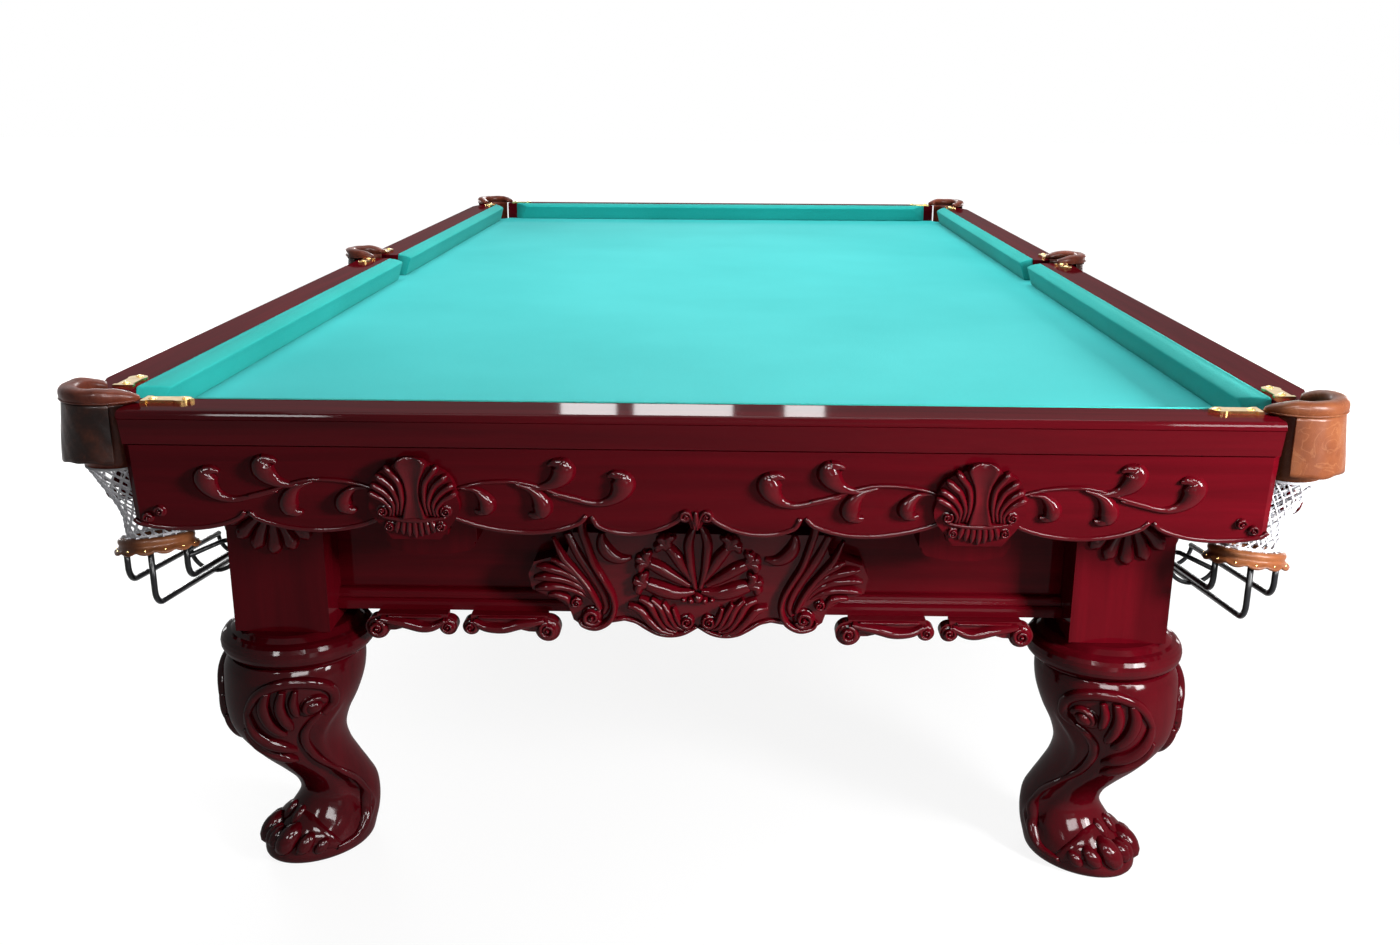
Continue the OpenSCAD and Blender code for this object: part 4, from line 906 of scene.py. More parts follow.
def rack(name, sx, sy, centre, middle):
    """Three bent rods, the half rings that tie them, and two arms that end in the leg block."""
    shape = Shape()
    cx, cy = centre[0] / MM, centre[1] / MM
    run, hang = (330 * 0.62, 163 * 0.3) if middle else (330, 165)
    x0, end_y = cx - RACK_OUT, cy - run
    slope, guard = math.atan(RACK_FALL / run), ROD_LOW + GUARD_UP

    def bar(line, radius=TIE_R * MM, sides=10, side=None):
        tube(shape, placed(line, sx, sy), radius, sides, side=side)

    for x in ROD_X:
        dx = x - 13
        dy = math.sqrt(ROD_RING ** 2 - dx ** 2)
        foot_x, foot_y = cx - 49 + dx, cy + dy
        z = (guard if x else ROD_LOW) - (cy - foot_y + BEND_R) * math.tan(slope)
        zc, yc = z + BEND_R * math.cos(slope), foot_y - BEND_R
        top = RING_FOOT + 7 + dy * math.tan(DIP) - dx * math.tan(FALL)
        line = [(foot_x, foot_y, top), (foot_x, foot_y, zc + 6)]
        for turned in ((math.pi / 2 - slope) * i / 10 for i in range(11)):
            line.append((foot_x, yc + BEND_R * math.cos(turned), zc - BEND_R * math.sin(turned)))
        for d in (4, 0):
            line.append((foot_x, end_y + d, z - (yc + BEND_R * math.sin(slope) - end_y - d) * math.tan(slope)))
        bar(line, [ROD_R * MM] * (len(line) - 1) + [0.7 * ROD_R * MM], 14, (1, 0, 0))
    half_turn = np.radians(np.linspace(178, 362, 26))
    for back in (run - 6, hang + 30):
        zc = guard - back * math.tan(slope)
        bar([(x0 + 42 * math.cos(a), cy - back, zc + 42 * math.sin(a)) for a in half_turn], side=(0, 1, 0))
    face = LEG_X + BLOCK_HALF
    arm_y, arm_z = cy - hang - 9, guard - (hang + 9) * math.tan(slope)
    bar([(face, arm_y, arm_z), (x0 - 42, arm_y, arm_z)])
    foot_y = cy + math.sqrt(ROD_RING ** 2 - 55 ** 2)
    head_y = min(foot_y, LEG_Y + BLOCK_HALF - 15)
    head = [(face, head_y), (face + 5.5, head_y), (face + 12, head_y + 0.06 * (foot_y - head_y)), (x0 - 42, foot_y)]
    bar([(x, y, RING_FOOT - 6) for x, y in head], side=(0, 0, 1))
    shape.make("rack_" + name, black, stands_for=["ball_rack_" + name], slot="rack_steel")


for pocket_place in PLACES:
    rack(*pocket_place)
print("racks: 6")

# %% [markdown]
# ## Cabriole legs
#
# A cabriole leg bulges at the knee, draws in at the ankle and turns out again at the foot. The solid gives its line
# in rings; here the same rings are joined by a finer skin, so that the gloss runs smoothly, and the carving is laid on
# it. The rings are ellipses, each given by its height as a part of the leg's, its lean, and its half width across and
# along the lean.
# %% Leg surface
LEG_LEN = CLOTH / MM - 418
LEVELS = np.array([
    (1, 6, 116, 116), (0.95, 10, 122, 122), (0.87, 15, 121, 122), (0.78, 22, 112, 116), (0.69, 28, 98, 104),
    (0.6, 22, 85, 90), (0.51, 4, 76, 80), (0.42, -22, 69, 72), (0.34, -44, 63, 68), (0.265, -55, 60, 72),
    (0.19, -46, 68, 84), (0.12, -28, 78, 98), (0.06, -14, 82, 104), (0.02, -10, 80, 103), (0, -10, 74, 98)], float)
FINE = smooth_line(LEVELS, 15 * 24)[::-1]
FINE_H = FINE[:, 0] * LEG_LEN
legs = []
for side, sx in SIDES:
    for end, sy in (("front", -1), ("middle", 0), ("rear", 1)):
        out_dir = (1, 0) if sy == 0 else (math.sqrt(0.5), math.sqrt(0.5))
        legs.append((side + "_" + end, sx, sy or 1, (LEG_X, 0 if sy == 0 else LEG_Y), out_dir))


def leg_point(leg, phi, h, out=0.0):
    """A point of the leg's skin, from the angle off its outward direction and the height, pushed out by out."""
    _, sx, sy, axis, out_dir = leg
    phi, h = np.asarray(phi, float), np.asarray(h, float)

    def flat_at(f, g):
        lean, across, deep = (np.interp(g, FINE_H, FINE[:, k]) for k in (1, 2, 3))
        return lean + deep * np.cos(f), across * np.sin(f), g

    u, w, z = flat_at(phi, h)
    u1, w1, z1 = flat_at(phi + 0.01, h)
    u2, w2, z2 = flat_at(phi, h + 1.0)
    a = np.stack([u1 - u, w1 - w, z1 - z], -1)
    b = np.stack([u2 - u, w2 - w, z2 - z], -1)
    normal = np.cross(a, b)
    normal /= np.linalg.norm(normal, axis=-1)[..., None]
    q = np.stack([u, w, z], -1) + normal * np.asarray(out)[..., None]
    x = axis[0] + q[..., 0] * out_dir[0] - q[..., 1] * out_dir[1]
    y = axis[1] + q[..., 0] * out_dir[1] + q[..., 1] * out_dir[0]
    return np.stack([sx * x, sy * y, np.maximum(q[..., 2], 0.0)], -1) * MM


def bulge(phi, h):
    """Modelling of the leg's skin: a ridge down each side, with a hollow beside it."""
    side = np.abs(phi)
    at = np.interp(h, [20, 70, 122, 199, 262, 313, 345], [1.9, 2.1, 1.6, 1.57, 1.62, 1.8, 1.7])
    ridge = 5.0 * np.exp(-((side - at) / 0.10) ** 2) * np.clip((h - 15) / 30, 0, 1) * np.clip((345 - h) / 40, 0, 1)
    fade = np.clip((h - 30) / 30, 0, 1) * np.clip((330 - h) / 60, 0, 1)
    return ridge - 4.0 * np.exp(-((side - at + 0.30) / 0.20) ** 2) * fade


# %% Legs
LEG_ROWS, LEG_COLUMNS = 110, 96
for leg in legs:
    shape = Shape()
    around, heights = np.meshgrid(np.linspace(-math.pi, math.pi, LEG_COLUMNS, endpoint=False),
                                  np.linspace(0, LEG_LEN, LEG_ROWS))
    grid = leg_point(leg, around, heights, bulge(around, heights))
    shape.add(grid.reshape(-1, 3), capped(LEG_ROWS, LEG_COLUMNS))
    shape.make("leg_" + leg[0], turned_wood_painted_shade, stands_for=["legs_" + leg[0].split("_")[1]])
print("legs: 6, each", LEG_ROWS, "by", LEG_COLUMNS)

# %% [markdown]
# ## Carving
#
# Shells, vines and scrolls are raised strokes, as a carver leaves them: each starts thin, swells and ends in a point or
# a curl, and its back is round, or has two ridges like a flute. A stroke is a line on a flat surface with a width and
# a height along it. The same strokes are then laid on a leaning board, on a block or round a leg by giving that
# surface's own way of turning (across, up, out) into a place.
# %% Strokes
# Sections across a stroke: place from -1 to 1, and height; the first and last point go under the surface
ROUND = np.array([
    (-1, -9), (-0.97, 0.0), (-0.8, 0.55), (-0.45, 0.89), (0, 1.0), (0.45, 0.89), (0.8, 0.55), (0.97, 0.0), (1, -9)])
FLUTE = np.array([
    (-1, -9), (-0.98, 0.2), (-0.9, 0.82), (-0.78, 1.0), (-0.6, 0.84), (-0.3, 0.66), (0, 0.6), (0.3, 0.66), (0.6, 0.84),
    (0.78, 1.0), (0.9, 0.82), (0.98, 0.2), (1, -9)])
DOME = ((1.0, None), (0.98, 0.05), (0.86, 0.50), (0.62, 0.80), (0.32, 0.96), (0.02, 1.0))
SINK = 2.0


def swell(values, count):
    """Widths or heights along a stroke: straight between two values, curved through more."""
    if len(values) < 3:
        return spread(values, count)
    return np.clip(smooth_line([(v, 0) for v in values], count)[:, 0], 0.05, None)


class Relief:
    """Raised strokes on a flat surface, in millimetres: across, up and out."""

    def __init__(self):
        self.parts = []

    def keep(self, grid, faces, mirror):
        """Keep a part, and its reflection in the middle line where mirror says so."""
        self.parts.append((grid, faces))
        if mirror:
            self.parts.append((grid * (-1, 1, 1), [f[::-1] for f in faces]))

    def stroke(self, line, width, height, count=22, section=ROUND, mirror=True):
        """Raise a stroke along a line, with a half width and a height that swell along it."""
        p = smooth_line(line, count)
        t = np.gradient(p, axis=0)
        t /= np.linalg.norm(t, axis=1)[:, None] + 1e-9
        across = np.column_stack([-t[:, 1], t[:, 0]])
        offset = swell(width, count)[:, None] * section[None, :, 0]
        flat = p[:, None, :] + across[:, None, :] * offset[:, :, None]
        out = swell(height, count)[:, None] * section[None, :, 1]
        out[:, [0, -1]] = -SINK
        grid = np.concatenate([flat, out[:, :, None]], axis=2).reshape(-1, 3)
        self.keep(grid, capped(count, len(section)), mirror)

    def leaf(self, points, height, count=26, section=ROUND, mirror=True):
        """A stroke whose points carry their own half width; it stands higher where it is wider."""
        p = np.asarray(points, float)
        tall = height * (0.30 + 0.70 * np.clip(p[:, 2] / p[:, 2].max(), 0, 1))
        self.stroke(p[:, :2], p[:, 2], tall, count, section, mirror)

    def dome(self, centre, r, height, sides=16, mirror=True):
        """A round boss."""
        a = np.linspace(0, 2 * math.pi, sides, endpoint=False)
        rings = []
        for k, z in DOME:
            out = np.full(sides, -SINK if z is None else z * height)
            rings.append(np.column_stack([centre[0] + r * k * np.cos(a), centre[1] + r * k * np.sin(a), out]))
        self.keep(np.concatenate(rings), capped(len(DOME), sides), mirror)

    def volute(self, centre, r, start, way=1, turns=1.35, width=None, height=7.0, lead=()):
        """A scroll that winds in from radius r to a round eye; lead is the line that runs into it."""
        width = width or r * 0.30
        a = np.radians(start) + way * np.linspace(0, turns * 2 * math.pi, 26)
        radius = (r - width) * np.linspace(1, 0.26, 26) ** 0.9
        spiral = np.column_stack([centre[0] + radius * np.cos(a), centre[1] + radius * np.sin(a)])
        self.dome(centre, r * 0.96, height * 0.42)
        line = np.concatenate([np.array(lead, float), spiral[::3]]) if lead else spiral[::2]
        widths = [width * 0.6] * bool(lead) + [width, width, width * 0.8, width * 0.55]
        self.stroke(line, widths, [height * 0.8, height, height, height * 0.9], 44)
        self.dome(centre, r * 0.27, height * 1.15, 12)

    def lay(self, shape, surface, shift=0, stretch=1):
        """Lay the strokes on a surface, moved and stretched across it; a negative stretch turns them round."""
        for q, faces in self.parts:
            turned = faces if stretch > 0 else [f[::-1] for f in faces]
            shape.add(surface(q[:, 0] * stretch + shift, q[:, 1], q[:, 2]), turned)


# %% Shell
shell = Relief()
shell.leaf([(0, -109, 20), (0, -98, 17), (0, -73, 11), (0, -48, 14), (0, -30, 22), (0, -19, 26), (0, -11, 20),
            (0, -8, 9)], 12, 34, FLUTE, False)
for finger in ([(21, -105, 3), (17.5, -80, 5.2), (20, -52, 6), (30, -36, 6.6), (37, -27, 6.6), (41, -22, 2.5)],
               [(27, -104, 3), (24, -82, 5.2), (33, -58, 6), (44, -47, 6.8), (51, -41, 6.6), (56, -37, 2.5)],
               [(33, -106, 3), (31, -87, 5.0), (40, -71, 5.8), (51, -61, 6.6), (60, -55, 6.4), (65, -52, 2.5)],
               [(38, -106, 3), (36, -94, 4.6), (46, -80, 5.4), (56, -73, 6.4), (65, -68, 6.2), (70, -66, 2.5)]):
    shell.leaf(finger, 11, 22)
shell.volute((50, -98), 11, 120, 1, 1.3, height=9)
shell.volute((40, -124), 10, 60, -1, 1.3, height=9)
shell.leaf([(-50, -108, 3), (-24, -112, 5), (0, -113, 6), (24, -112, 5), (50, -108, 3)], 9, mirror=False)
for k in range(-3, 4):
    rib = [(8.2, -113, 4), (9.2, -122, 6.2), (9.7, -133 + abs(k) * 2.0, 6), (9.9, -143 + abs(k) * 2.6, 2.5)]
    shell.leaf([(k * x, z, w) for x, z, w in rib], 8, count=14, mirror=False)

# %% Vine beside a shell, drawn outwards from the shell's middle
vine = Relief()
vine.leaf([(52, -69.5, 2), (78, -60, 3), (113, -52.5, 3.5), (158, -51, 3.5), (192, -58, 3.5), (225, -70, 4),
           (262, -80, 4)], 6.5, count=44, mirror=False)
for tail, beak in (([(215, -71, 2.5), (250, -79, 4.5), (285, -86, 5), (308, -80, 8.5), (322, -66, 15), (327, -52, 18),
                     (326, -40, 13), (323, -33, 4)], [(324, -40, 10), (313, -37, 7), (303, -40, 3)]),
                   ([(158, -54, 2), (188, -61, 4.5), (212, -56, 8.5), (228, -44, 15), (235, -31, 17.5), (234, -19, 12),
                     (231, -13, 4)], [(231, -20, 10), (220, -19, 6.5), (211, -23, 3)]),
                   ([(160, -55, 2.2), (182, -63, 6), (195, -77, 11.5), (200, -92, 15), (197, -104, 11.5),
                     (193, -110, 4)], [(196, -103, 10), (187, -107, 7), (178, -105, 3)]),
                   ([(74, -63.5, 2), (94, -65, 4.5), (107, -76, 9.5), (113, -89, 13.5), (110, -100, 10.5),
                     (107, -105, 4)], [(109, -99, 9), (101, -102, 6.5), (93, -100, 3)])):
    for line, tall, count in ((tail, 14, 40), (beak, 11, 14)):
        vine.leaf([(x, z, 1.16 * w) for x, z, w in line], tall, count, mirror=False)

# %% Centre curls, corner curls and palmette
curls = Relief()
curls.volute((17, -106), 12, 150, -1, 1.25, height=8, lead=[(2, -128), (4, -116)])
curls.leaf([(0, -98, 4), (0, -112, 6.5), (0, -127, 2)], 9, count=14, mirror=False)
palmette = Relief()
for k in range(-3, 4):
    a = math.radians(-90 + k * 21)
    far = 94 - 2.5 * abs(k)
    rib = [(0.08, 1, 4), (0.36, 0.86, 7), (0.66, 1, 11.5), (0.88, 1, 14), (1, 1, 6)]
    palmette.leaf([(t * far * math.cos(a) * narrow, -124 + t * far * math.sin(a), w) for t, narrow, w in rib], 13, 20,
                  mirror=False)
palmette.dome((0, -122), 13, 12, mirror=False)
print("relief parts:", len(shell.parts), len(vine.parts), len(curls.parts), len(palmette.parts))

# %% [markdown]
# ## Boards that carry the carving
#
# An apron leans in towards its lower edge, so a point of its face moves inward as it goes down. A board is given by the
# direction it faces, the distance of its face from the middle of the table, and its lean; the function returned turns
# (across, up, out) into a place. The lower edge of an apron is a row of lobes between cusps, with a thin bead along it.
# %% Boards
def board(face, distance, top=0.0, lean=0.0, middle=0.0):
    """A flat face of the table; face is (1,0), (-1,0), (0,1) or (0,-1), the sizes are in millimetres."""
    out_dir = np.array((face[0], face[1], 0.0))
    along_dir = np.cross((0, 0, 1), out_dir)
    slope = math.tan(lean)
    normal = (out_dir + np.array((0, 0, -slope))) / math.hypot(1, slope)

    def surface(a, z, h):
        a, z, h = (np.asarray(k, float)[:, None] for k in (a, z, h))
        q = along_dir * (a + middle) + out_dir * (distance + (z - top) * slope) + np.array((0, 0, 1.0)) * z + normal * h
        q = q * MM
        q[:, 2] += CLOTH
        return q

    return surface


LEAN = math.radians(6)
TOP = 5 - 26 * math.sin(LEAN)
APRON_LOW, CUSP = -142.0, -110.0
END_FACE, SIDE_FACE = 1901 - 16, 1013.5 - 16
END_HALF, SIDE_HALF, MIDDLE_POCKET = 893, (1774.5 - 12 - 76 - 4) / 2, 80


def lobe(x0, z0, x1, z1, skew):
    """One hanging lobe of an apron's lower edge, between two cusps."""
    t = np.linspace(0, 1, 22)
    base = z0 + (z1 - z0) * t
    return [(x0 + (x1 - x0) * k, b + (APRON_LOW - b) * math.sin(math.pi * k ** skew) ** 0.55) for k, b in zip(t, base)]


def inset(line, by=4.5):
    """The line moved up, square to itself."""
    p = np.asarray(line, float)
    t = np.gradient(p, axis=0)
    t /= np.linalg.norm(t, axis=1)[:, None] + 1e-9
    side = np.column_stack([-t[:, 1], t[:, 0]])
    side[side[:, 1] < 0] *= -1
    return p + side * by


def apron_relief(half, shell_at, outer_cusp, inner_cusp, corner_low):
    """The bead along the lower edge, and two curls at each end."""
    relief = Relief()
    for line in (lobe(half, corner_low, outer_cusp, CUSP, 0.8), lobe(outer_cusp, CUSP, shell_at + 50, CUSP, 1),
                 lobe(shell_at - 50, CUSP, inner_cusp, CUSP, 1.2), lobe(inner_cusp, CUSP, 16, CUSP + 8, 0.8)):
        relief.stroke(inset(line), [4.2] * 3, [3.6] * 3, 2 * len(line))
    relief.volute((half - 47, -108), 11, 0, 1, 1.2, height=8)
    relief.volute((half - 26, -119), 10.5, 180, -1, 1.2, height=8)
    return relief


# %% Carving of the aprons
def carve_apron(name, surface, half, shell_at, outer_cusp, inner_cusp, corner_low, stretch):
    shape = Shape()
    apron_relief(half, shell_at, outer_cusp, inner_cusp, corner_low).lay(shape, surface)
    curls.lay(shape, surface)
    for s in (-1, 1):
        shell.lay(shape, lambda a, z, h: surface(a, z, h + 9.0), s * shell_at)
        for way in (-1, 1):
            vine.lay(shape, surface, s * shell_at, way * stretch)
    return shape.make("carving_" + name, carved)


for end, sy in ENDS:
    surface = board((0, sy), END_FACE, TOP, LEAN)
    piece = carve_apron("apron_" + end, surface, END_HALF, 440, 708, 168, APRON_LOW + 16, 1.0)
for side, sx in SIDES:
    for end, sy in ENDS:
        surface = board((sx, 0), SIDE_FACE, TOP, LEAN, (MIDDLE_POCKET + SIDE_HALF) * sy * sx)
        carve_apron(f"apron_{side}_{end}", surface, SIDE_HALF, SIDE_HALF * 0.5, SIDE_HALF * 0.84, SIDE_HALF * 0.19,
                    APRON_LOW + 44, 0.93)
print("apron carving faces:", len(piece.data.polygons))

# %% [markdown]
# ## Cartouche and scroll trim
#
# In the middle of each bay hangs a cartouche: two ribbed bands that come down in an S to a scroll, a fan of leaves on
# their outer side, an acanthus flower between them and two gadrooned fans along the foot. Under the moulding on each
# side run two pairs of scrolls joined by a waving band.
# %% Cartouche
cart = Relief()
cart.leaf([(196, -150, 8), (197, -178, 8), (190, -203, 8), (177, -241, 7.5), (157, -276, 7), (146, -299, 6.5),
           (143, -322, 6.5), (153, -345, 7), (175, -357, 7), (197, -353, 5.5), (204, -342, 4)], 16, 52)
cart.leaf([(222, -186, 7), (203, -226, 9), (180, -264, 8.5), (163, -295, 7.5), (157, -318, 7), (162, -332, 5)], 8, 36)
cart.leaf([(246, -194, 3), (229, -230, 7.5), (207, -257, 7), (187, -284, 7), (173, -311, 6.5), (168, -324, 5)], 15, 34)
cart.volute((182, -337), 21, 200, 1, 1.5, height=16)
for fan in ([(170, -314, 3), (190, -280, 6), (213, -254, 8), (234, -239, 8.5), (250, -233, 4)],
            [(178, -311, 3), (196, -280, 6.5), (222, -259, 9), (254, -249, 9.5), (275, -247, 4)],
            [(186, -302, 3), (203, -282, 7), (229, -269, 9), (259, -265, 9.5), (280, -268, 4)],
            [(192, -300, 3), (211, -288, 7), (236, -282, 8.5), (260, -283, 8.5), (278, -287, 4)]):
    cart.leaf(fan, 15)
cart.volute((208, -311), 11, 90, -1, 1.3, height=14)
cart.leaf([(218, -318, 4), (226, -304, 8), (240, -298, 8), (256, -299, 4)], 12, count=16)
for flower in ([(5, -289, 6), (34, -293, 13), (62, -286, 16), (86, -277, 13)],
               [(14, -278, 6), (42, -262, 11), (64, -248, 13), (82, -239, 11)],
               [(9, -270, 6), (25, -246, 10), (37, -226, 12), (50, -210, 10)]):
    cart.leaf(flower, 15, 26)
    end, before = (np.array(flower[k][:2], float) for k in (-1, -2))
    way = (end - before) / np.linalg.norm(end - before)
    side = np.array((-way[1], way[0]))
    for bend, reach, wide in ((-1.0, 24, 10), (0.0, 27, 10.5), (1.0, 24, 10)):
        tip = end + reach * (math.cos(bend) * way + math.sin(bend) * side)
        turned = end + 0.55 * reach * (math.cos(bend * 0.5) * way + math.sin(bend * 0.5) * side)
        lobe_line = ((end - 5 * way, 0.7), (turned, 1), (end + (tip - end) * 0.88, 0.9), (tip, 0.4))
        cart.leaf([(*at, wide * part) for at, part in lobe_line], 14, 14)
cart.leaf([(4, -284, 5), (12, -250, 8.5), (15, -222, 9.5), (16, -203, 9.5), (11, -184, 8), (5, -172, 5)], 14, 28)
for x, z, r in ((0, -300, 11), (12, -304, 8), (24, -302, 6.5)):
    cart.dome((x, z), r, 15, mirror=x > 0)
cart.leaf([(163, -186, 5), (163, -198, 10), (159, -212, 14), (148, -225, 14), (131, -232, 10), (113, -229, 4)], 14, 26)
for rib in ([(120, -316, 6), (100, -322, 9.5), (83, -343, 9), (64, -361, 7), (42, -368, 4)],
            [(101, -303, 6), (83, -312, 9), (70, -336, 8), (54, -358, 6), (35, -364, 3)],
            [(80, -303, 6), (64, -320, 8.5), (53, -345, 7.5), (35, -360, 4)],
            [(60, -310, 6), (49, -330, 7.5), (38, -351, 6), (24, -359, 3)],
            [(42, -318, 5), (36, -337, 6.5), (27, -351, 5), (16, -357, 3)]):
    cart.leaf(rib, 15, 22)
cart.volute((19, -344), 15, 100, 1, 1.4, height=15)
cart.leaf([(2, -354, 4), (24, -366, 5), (46, -370.5, 5), (68, -367.5, 5), (88, -357, 5), (106, -346, 4.6),
           (126, -341, 4.4), (146, -344, 4)], 8, 44)
cart.leaf([(0, -150, 9), (70, -150, 9), (140, -150, 9), (211, -150, 9)], 4, 24)

# %% Trim
trim = Relief()
for x0, x1 in ((555, 432), (259, 392)):
    low0, low1 = -364.0, -360.0
    s = 1 if x1 > x0 else -1
    trim.volute((x0, low0), 20, 90, -s, 1.5, height=13)
    trim.volute((x1, low1), 15, 90, s, 1.4, height=12)
    trim.leaf([(x0 + s * 6, low0 + 17, 6), (x0 + s * 26, -351, 8.5), (x0 + s * 50, -355, 10), (x0 + s * 78, -362, 10),
               (x1 - s * 24, -360, 8.5), (x1 - s * 4, low1 + 11, 5.5)], 14, 34)
    trim.leaf([(x0 + s * 18, -343, 2.4), (x0 + s * 50, -343, 3), (x1 - s * 40, -343, 3),
               (x1 - s * 12, -343, 2.4)], 6, 20)

print("cartouche and trim parts:", len(cart.parts), len(trim.parts))

# %% Bays
END_BAY, SIDE_BAY, BAY_MIDDLE = 1257, 1512, LEG_Y / 2
BEAM_SET_BACK, PLATE_OUT = 79, 47


def carve_bay(name, face, distance, length, middle=0):
    shape = Shape()
    surface = board(face, distance, middle=middle)
    cart.lay(shape, surface)
    trim.lay(shape, surface, stretch=length / END_BAY)
    return shape.make("carving_" + name, carved)


for end, sy in ENDS:
    piece = carve_bay("bay_" + end, (0, sy), LEG_Y + BLOCK_HALF - BEAM_SET_BACK + PLATE_OUT, END_BAY)
for side, sx in SIDES:
    for end, sy in ENDS:
        carve_bay(f"bay_{side}_{end}", (sx, 0), LEG_X + BLOCK_HALF - BEAM_SET_BACK + PLATE_OUT, SIDE_BAY,
                  BAY_MIDDLE * sx * sy)
print("bay carving faces:", len(piece.data.polygons))

# %% Palmettes on the leg blocks
shape = Shape()
for sx in (-1, 1):
    for sy in (-1, 1):
        palmette.lay(shape, board((0, sy), LEG_Y + BLOCK_HALF, middle=-sx * sy * LEG_X))
    for y in (-LEG_Y, 0, LEG_Y):
        palmette.lay(shape, board((sx, 0), LEG_X + BLOCK_HALF, middle=y * sx))
shape.make("carving_palmettes", carved)
print("palmettes: 10")

# %% [markdown]
# ## Knees and feet
#
# On both sides of each knee a scroll throws out a wing of curled leaves, and a ridge runs from the scroll down to the
# foot, where it ends in curls and toes. The strokes are drawn with the angle from the leg's outward direction, in
# degrees, and the height in millimetres, then laid on the leg's skin.
# %% Knee strokes
knee = Relief()
D = 1.745  # a degree round the leg, in hundredths of a radian


def on_knee(points, height, count=26):
    knee.leaf([(a * D, h, w) for a, h, w in points], height, count)


on_knee([(22, 300, 4), (25, 330, 7), (33, 357, 9), (47, 374, 10), (64, 377, 10), (82, 368, 10), (93, 350, 9),
         (96, 328, 8), (89, 309, 6)], 11, 48)
knee.volute((78 * D, 330), 23, 20, 1, 1.1, width=6, height=10)
knee.dome((78 * D, 330), 14, 14)
for claw in ([(40, 362, 6), (38, 336, 10), (44, 306, 10), (54, 286, 8), (60, 280, 3)],
             [(52, 364, 6), (51, 338, 9), (56, 312, 9), (62, 296, 7), (65, 291, 3)],
             [(62, 364, 5), (61, 345, 7.5), (64, 326, 7), (67, 316, 3)],
             [(23, 326, 5), (28, 290, 10), (40, 262, 12), (56, 247, 10), (65, 238, 4)],
             [(20, 288, 4), (26, 254, 9), (40, 231, 11), (52, 220, 8), (59, 215, 3)]):
    on_knee(claw, 13, 30)
on_knee([(88, 312, 5), (80, 292, 8), (76, 262, 10), (77, 230, 11), (79, 204, 12), (87, 172, 12), (98, 136, 12),
         (104, 92, 12), (109, 58, 11), (103, 30, 9), (82, 22, 5)], 10, 70)
on_knee([(84, 24, 6), (68, 38, 12), (50, 50, 16), (32, 62, 17), (14, 72, 12)], 5, 30)
for at, tall, r, out in ((22, 42, 25, 19), (4, 40, 17, 15), (45, 38, 18, 13), (64, 32, 14, 10), (12, 74, 15, 8)):
    knee.dome((at * D, tall), r, out, 20)


for leg in legs:
    def on_leg(a, z, h):
        phi = a / 100.0
        return leg_point(leg, phi, z, bulge(phi, z) + h)

    shape = Shape()
    knee.lay(shape, on_leg)
    shape.make("carving_leg_" + leg[0], turned_wood_painted_shade)
print("knee strokes:", len(knee.parts))

# %% [markdown]
# ## Floor and light
#
# The table stands on a pale floor. A lamp close at the right, in front, makes the right half of the end glow red and
# leaves the left half in shade; a low one opens the shadow under the apron. A wide lamp overhead lights the cloth, and
# two behind light the far sides. Lacquer shows what it mirrors: three windows far behind the table, seen in the front
# rail, and four cards in front. Windows and cards add highlights and no other light. Floor and world are white where
# they are seen straight or mirrored, and give the object only a little light.
# %% Floor
mesh = bpy.data.meshes.new("floor")
mesh.from_pydata([(-30, -30, 0), (30, -30, 0), (30, 30, 0), (-30, 30, 0)], [], [(0, 1, 2, 3)])
floor = bpy.data.objects.new("floor", mesh)
scene.collection.objects.link(floor)
floor_finish, tree, shader = finish("studio floor", Roughness=0.6, Base_Color=(0.1, 0.1, 0.1, 1))


def seen_or_mirrored(tree):
    """1 for what the camera sees straight, in a mirror or through glass."""
    path = put(tree, "ShaderNodeLightPath", (-900, 300))
    return maths(tree, "MAXIMUM", path.outputs["Is Camera Ray"],
                 maths(tree, "MAXIMUM", path.outputs["Is Glossy Ray"], path.outputs["Is Transmission Ray"]))


glow = put(tree, "ShaderNodeEmission", (-300, 300), i_Strength=0.88)
add = put(tree, "ShaderNodeAddShader", (100, 200))
pick = put(tree, "ShaderNodeMixShader", (300, 100))
output = tree.nodes["Material Output"]
tree.links.new(shader.outputs[0], add.inputs[0])
tree.links.new(glow.outputs[0], add.inputs[1])
tree.links.new(seen_or_mirrored(tree), pick.inputs[0])
tree.links.new(shader.outputs[0], pick.inputs[1])
tree.links.new(add.outputs[0], pick.inputs[2])
tree.links.new(pick.outputs[0], output.inputs["Surface"])
mesh.materials.append(floor_finish)

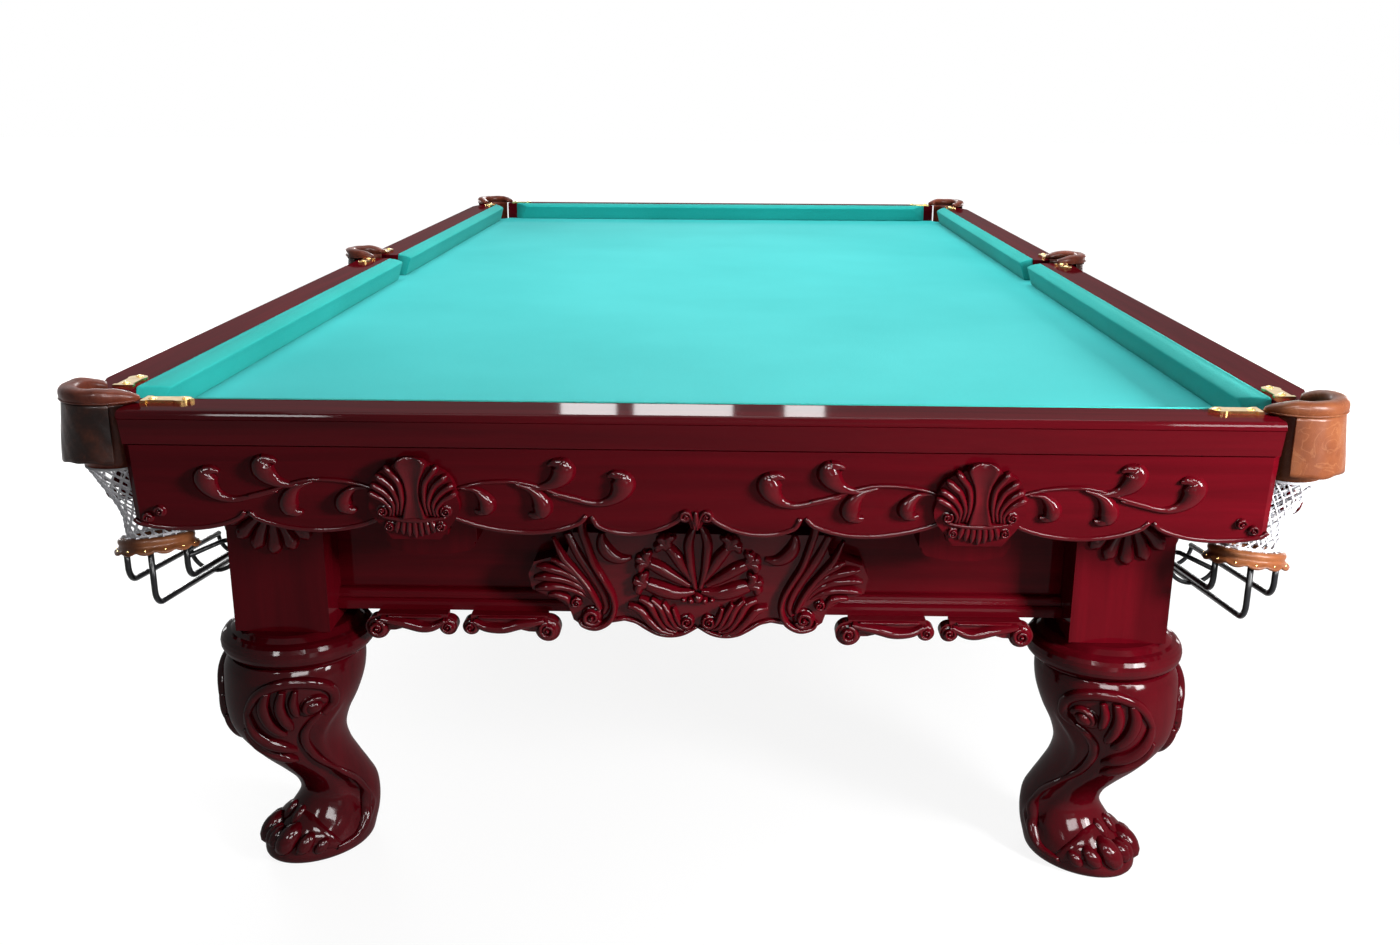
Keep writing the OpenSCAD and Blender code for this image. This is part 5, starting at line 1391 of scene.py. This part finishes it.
# %% World
world = bpy.data.worlds.new("studio")
scene.world = world
world.use_nodes = True
tree = world.node_tree
back = tree.nodes["Background"]
back.inputs["Color"].default_value = (1, 1, 1, 1)
back.inputs["Strength"].default_value = 0.03
white = put(tree, "ShaderNodeBackground", (-300, -400), i_Strength=1.0, i_Color=(1, 1, 1, 1))
shown = put(tree, "ShaderNodeMixShader", (200, 0))
tree.links.new(seen_or_mirrored(tree), shown.inputs[0])
tree.links.new(back.outputs[0], shown.inputs[1])
tree.links.new(white.outputs[0], shown.inputs[2])
tree.links.new(shown.outputs[0], tree.nodes["World Output"].inputs["Surface"])

# %% Lamps
def lamp(name, at, target, size, watts):
    """A rectangular lamp, turned to its target."""
    light = bpy.data.lights.new(name, "AREA")
    light.shape, light.size, light.size_y = "RECTANGLE", size[0], size[1]
    light.energy = watts
    piece = bpy.data.objects.new(name, light)
    scene.collection.objects.link(piece)
    piece.location = at
    piece.rotation_euler = (Vector(target) - Vector(at)).to_track_quat("-Z", "Y").to_euler()
    return piece


CARD_WATTS, WINDOW_WATTS, WINDOW_TALL = 215, 105, 1.5
CARDS = ((-1.7, -4.2, 2.5, 0.4, 0.7), (1.9, -3.6, 2.3, 0.8, 1.3), (-0.1, -3.9, 3.0, 1.1, 0.5),
         (0.4, -4.5, 1.9, 1.5, 0.5))
lamp("key", (1.75, -2.75, 1.25), (0.5, -1.9, 0.6), (0.4, 0.5), 76)
lamp("fill", (0.2, -4.6, 1.1), (0.1, -1.9, 0.5), (1.4, 0.5), 2)
lamp("low", (0.7, -3.6, 0.7), (0.08, -1.8, 0.5), (0.5, 0.4), 0.4).data.spread = math.radians(50)
for x in (-3.6, 3.6):
    lamp("rear", (x, 3.2, 0.6), (0.1 * x, 0.4, 0.5), (2.4, 0.4), 60)
lamp("overhead", (0.2, 0.5, 3.4), (0, 0.3, 0.8), (2.6, 4.4), 141)
for x, y, z, wide, tall in CARDS:
    card = lamp("card", (x, y, z), (0.4 * x, -1.9, 0.5), (wide, tall), CARD_WATTS * wide * tall)
    card.visible_diffuse = False
for x, wide in ((-1.02, 0.42), (-0.30, 0.75), (0.62, 0.30)):
    window = lamp("window", (x, 6.0, 2.75), (0.6 * x, -1.9, 0.9), (wide, WINDOW_TALL), WINDOW_WATTS * wide)
    window.visible_diffuse = False
print("lamps:", len(bpy.data.lights))
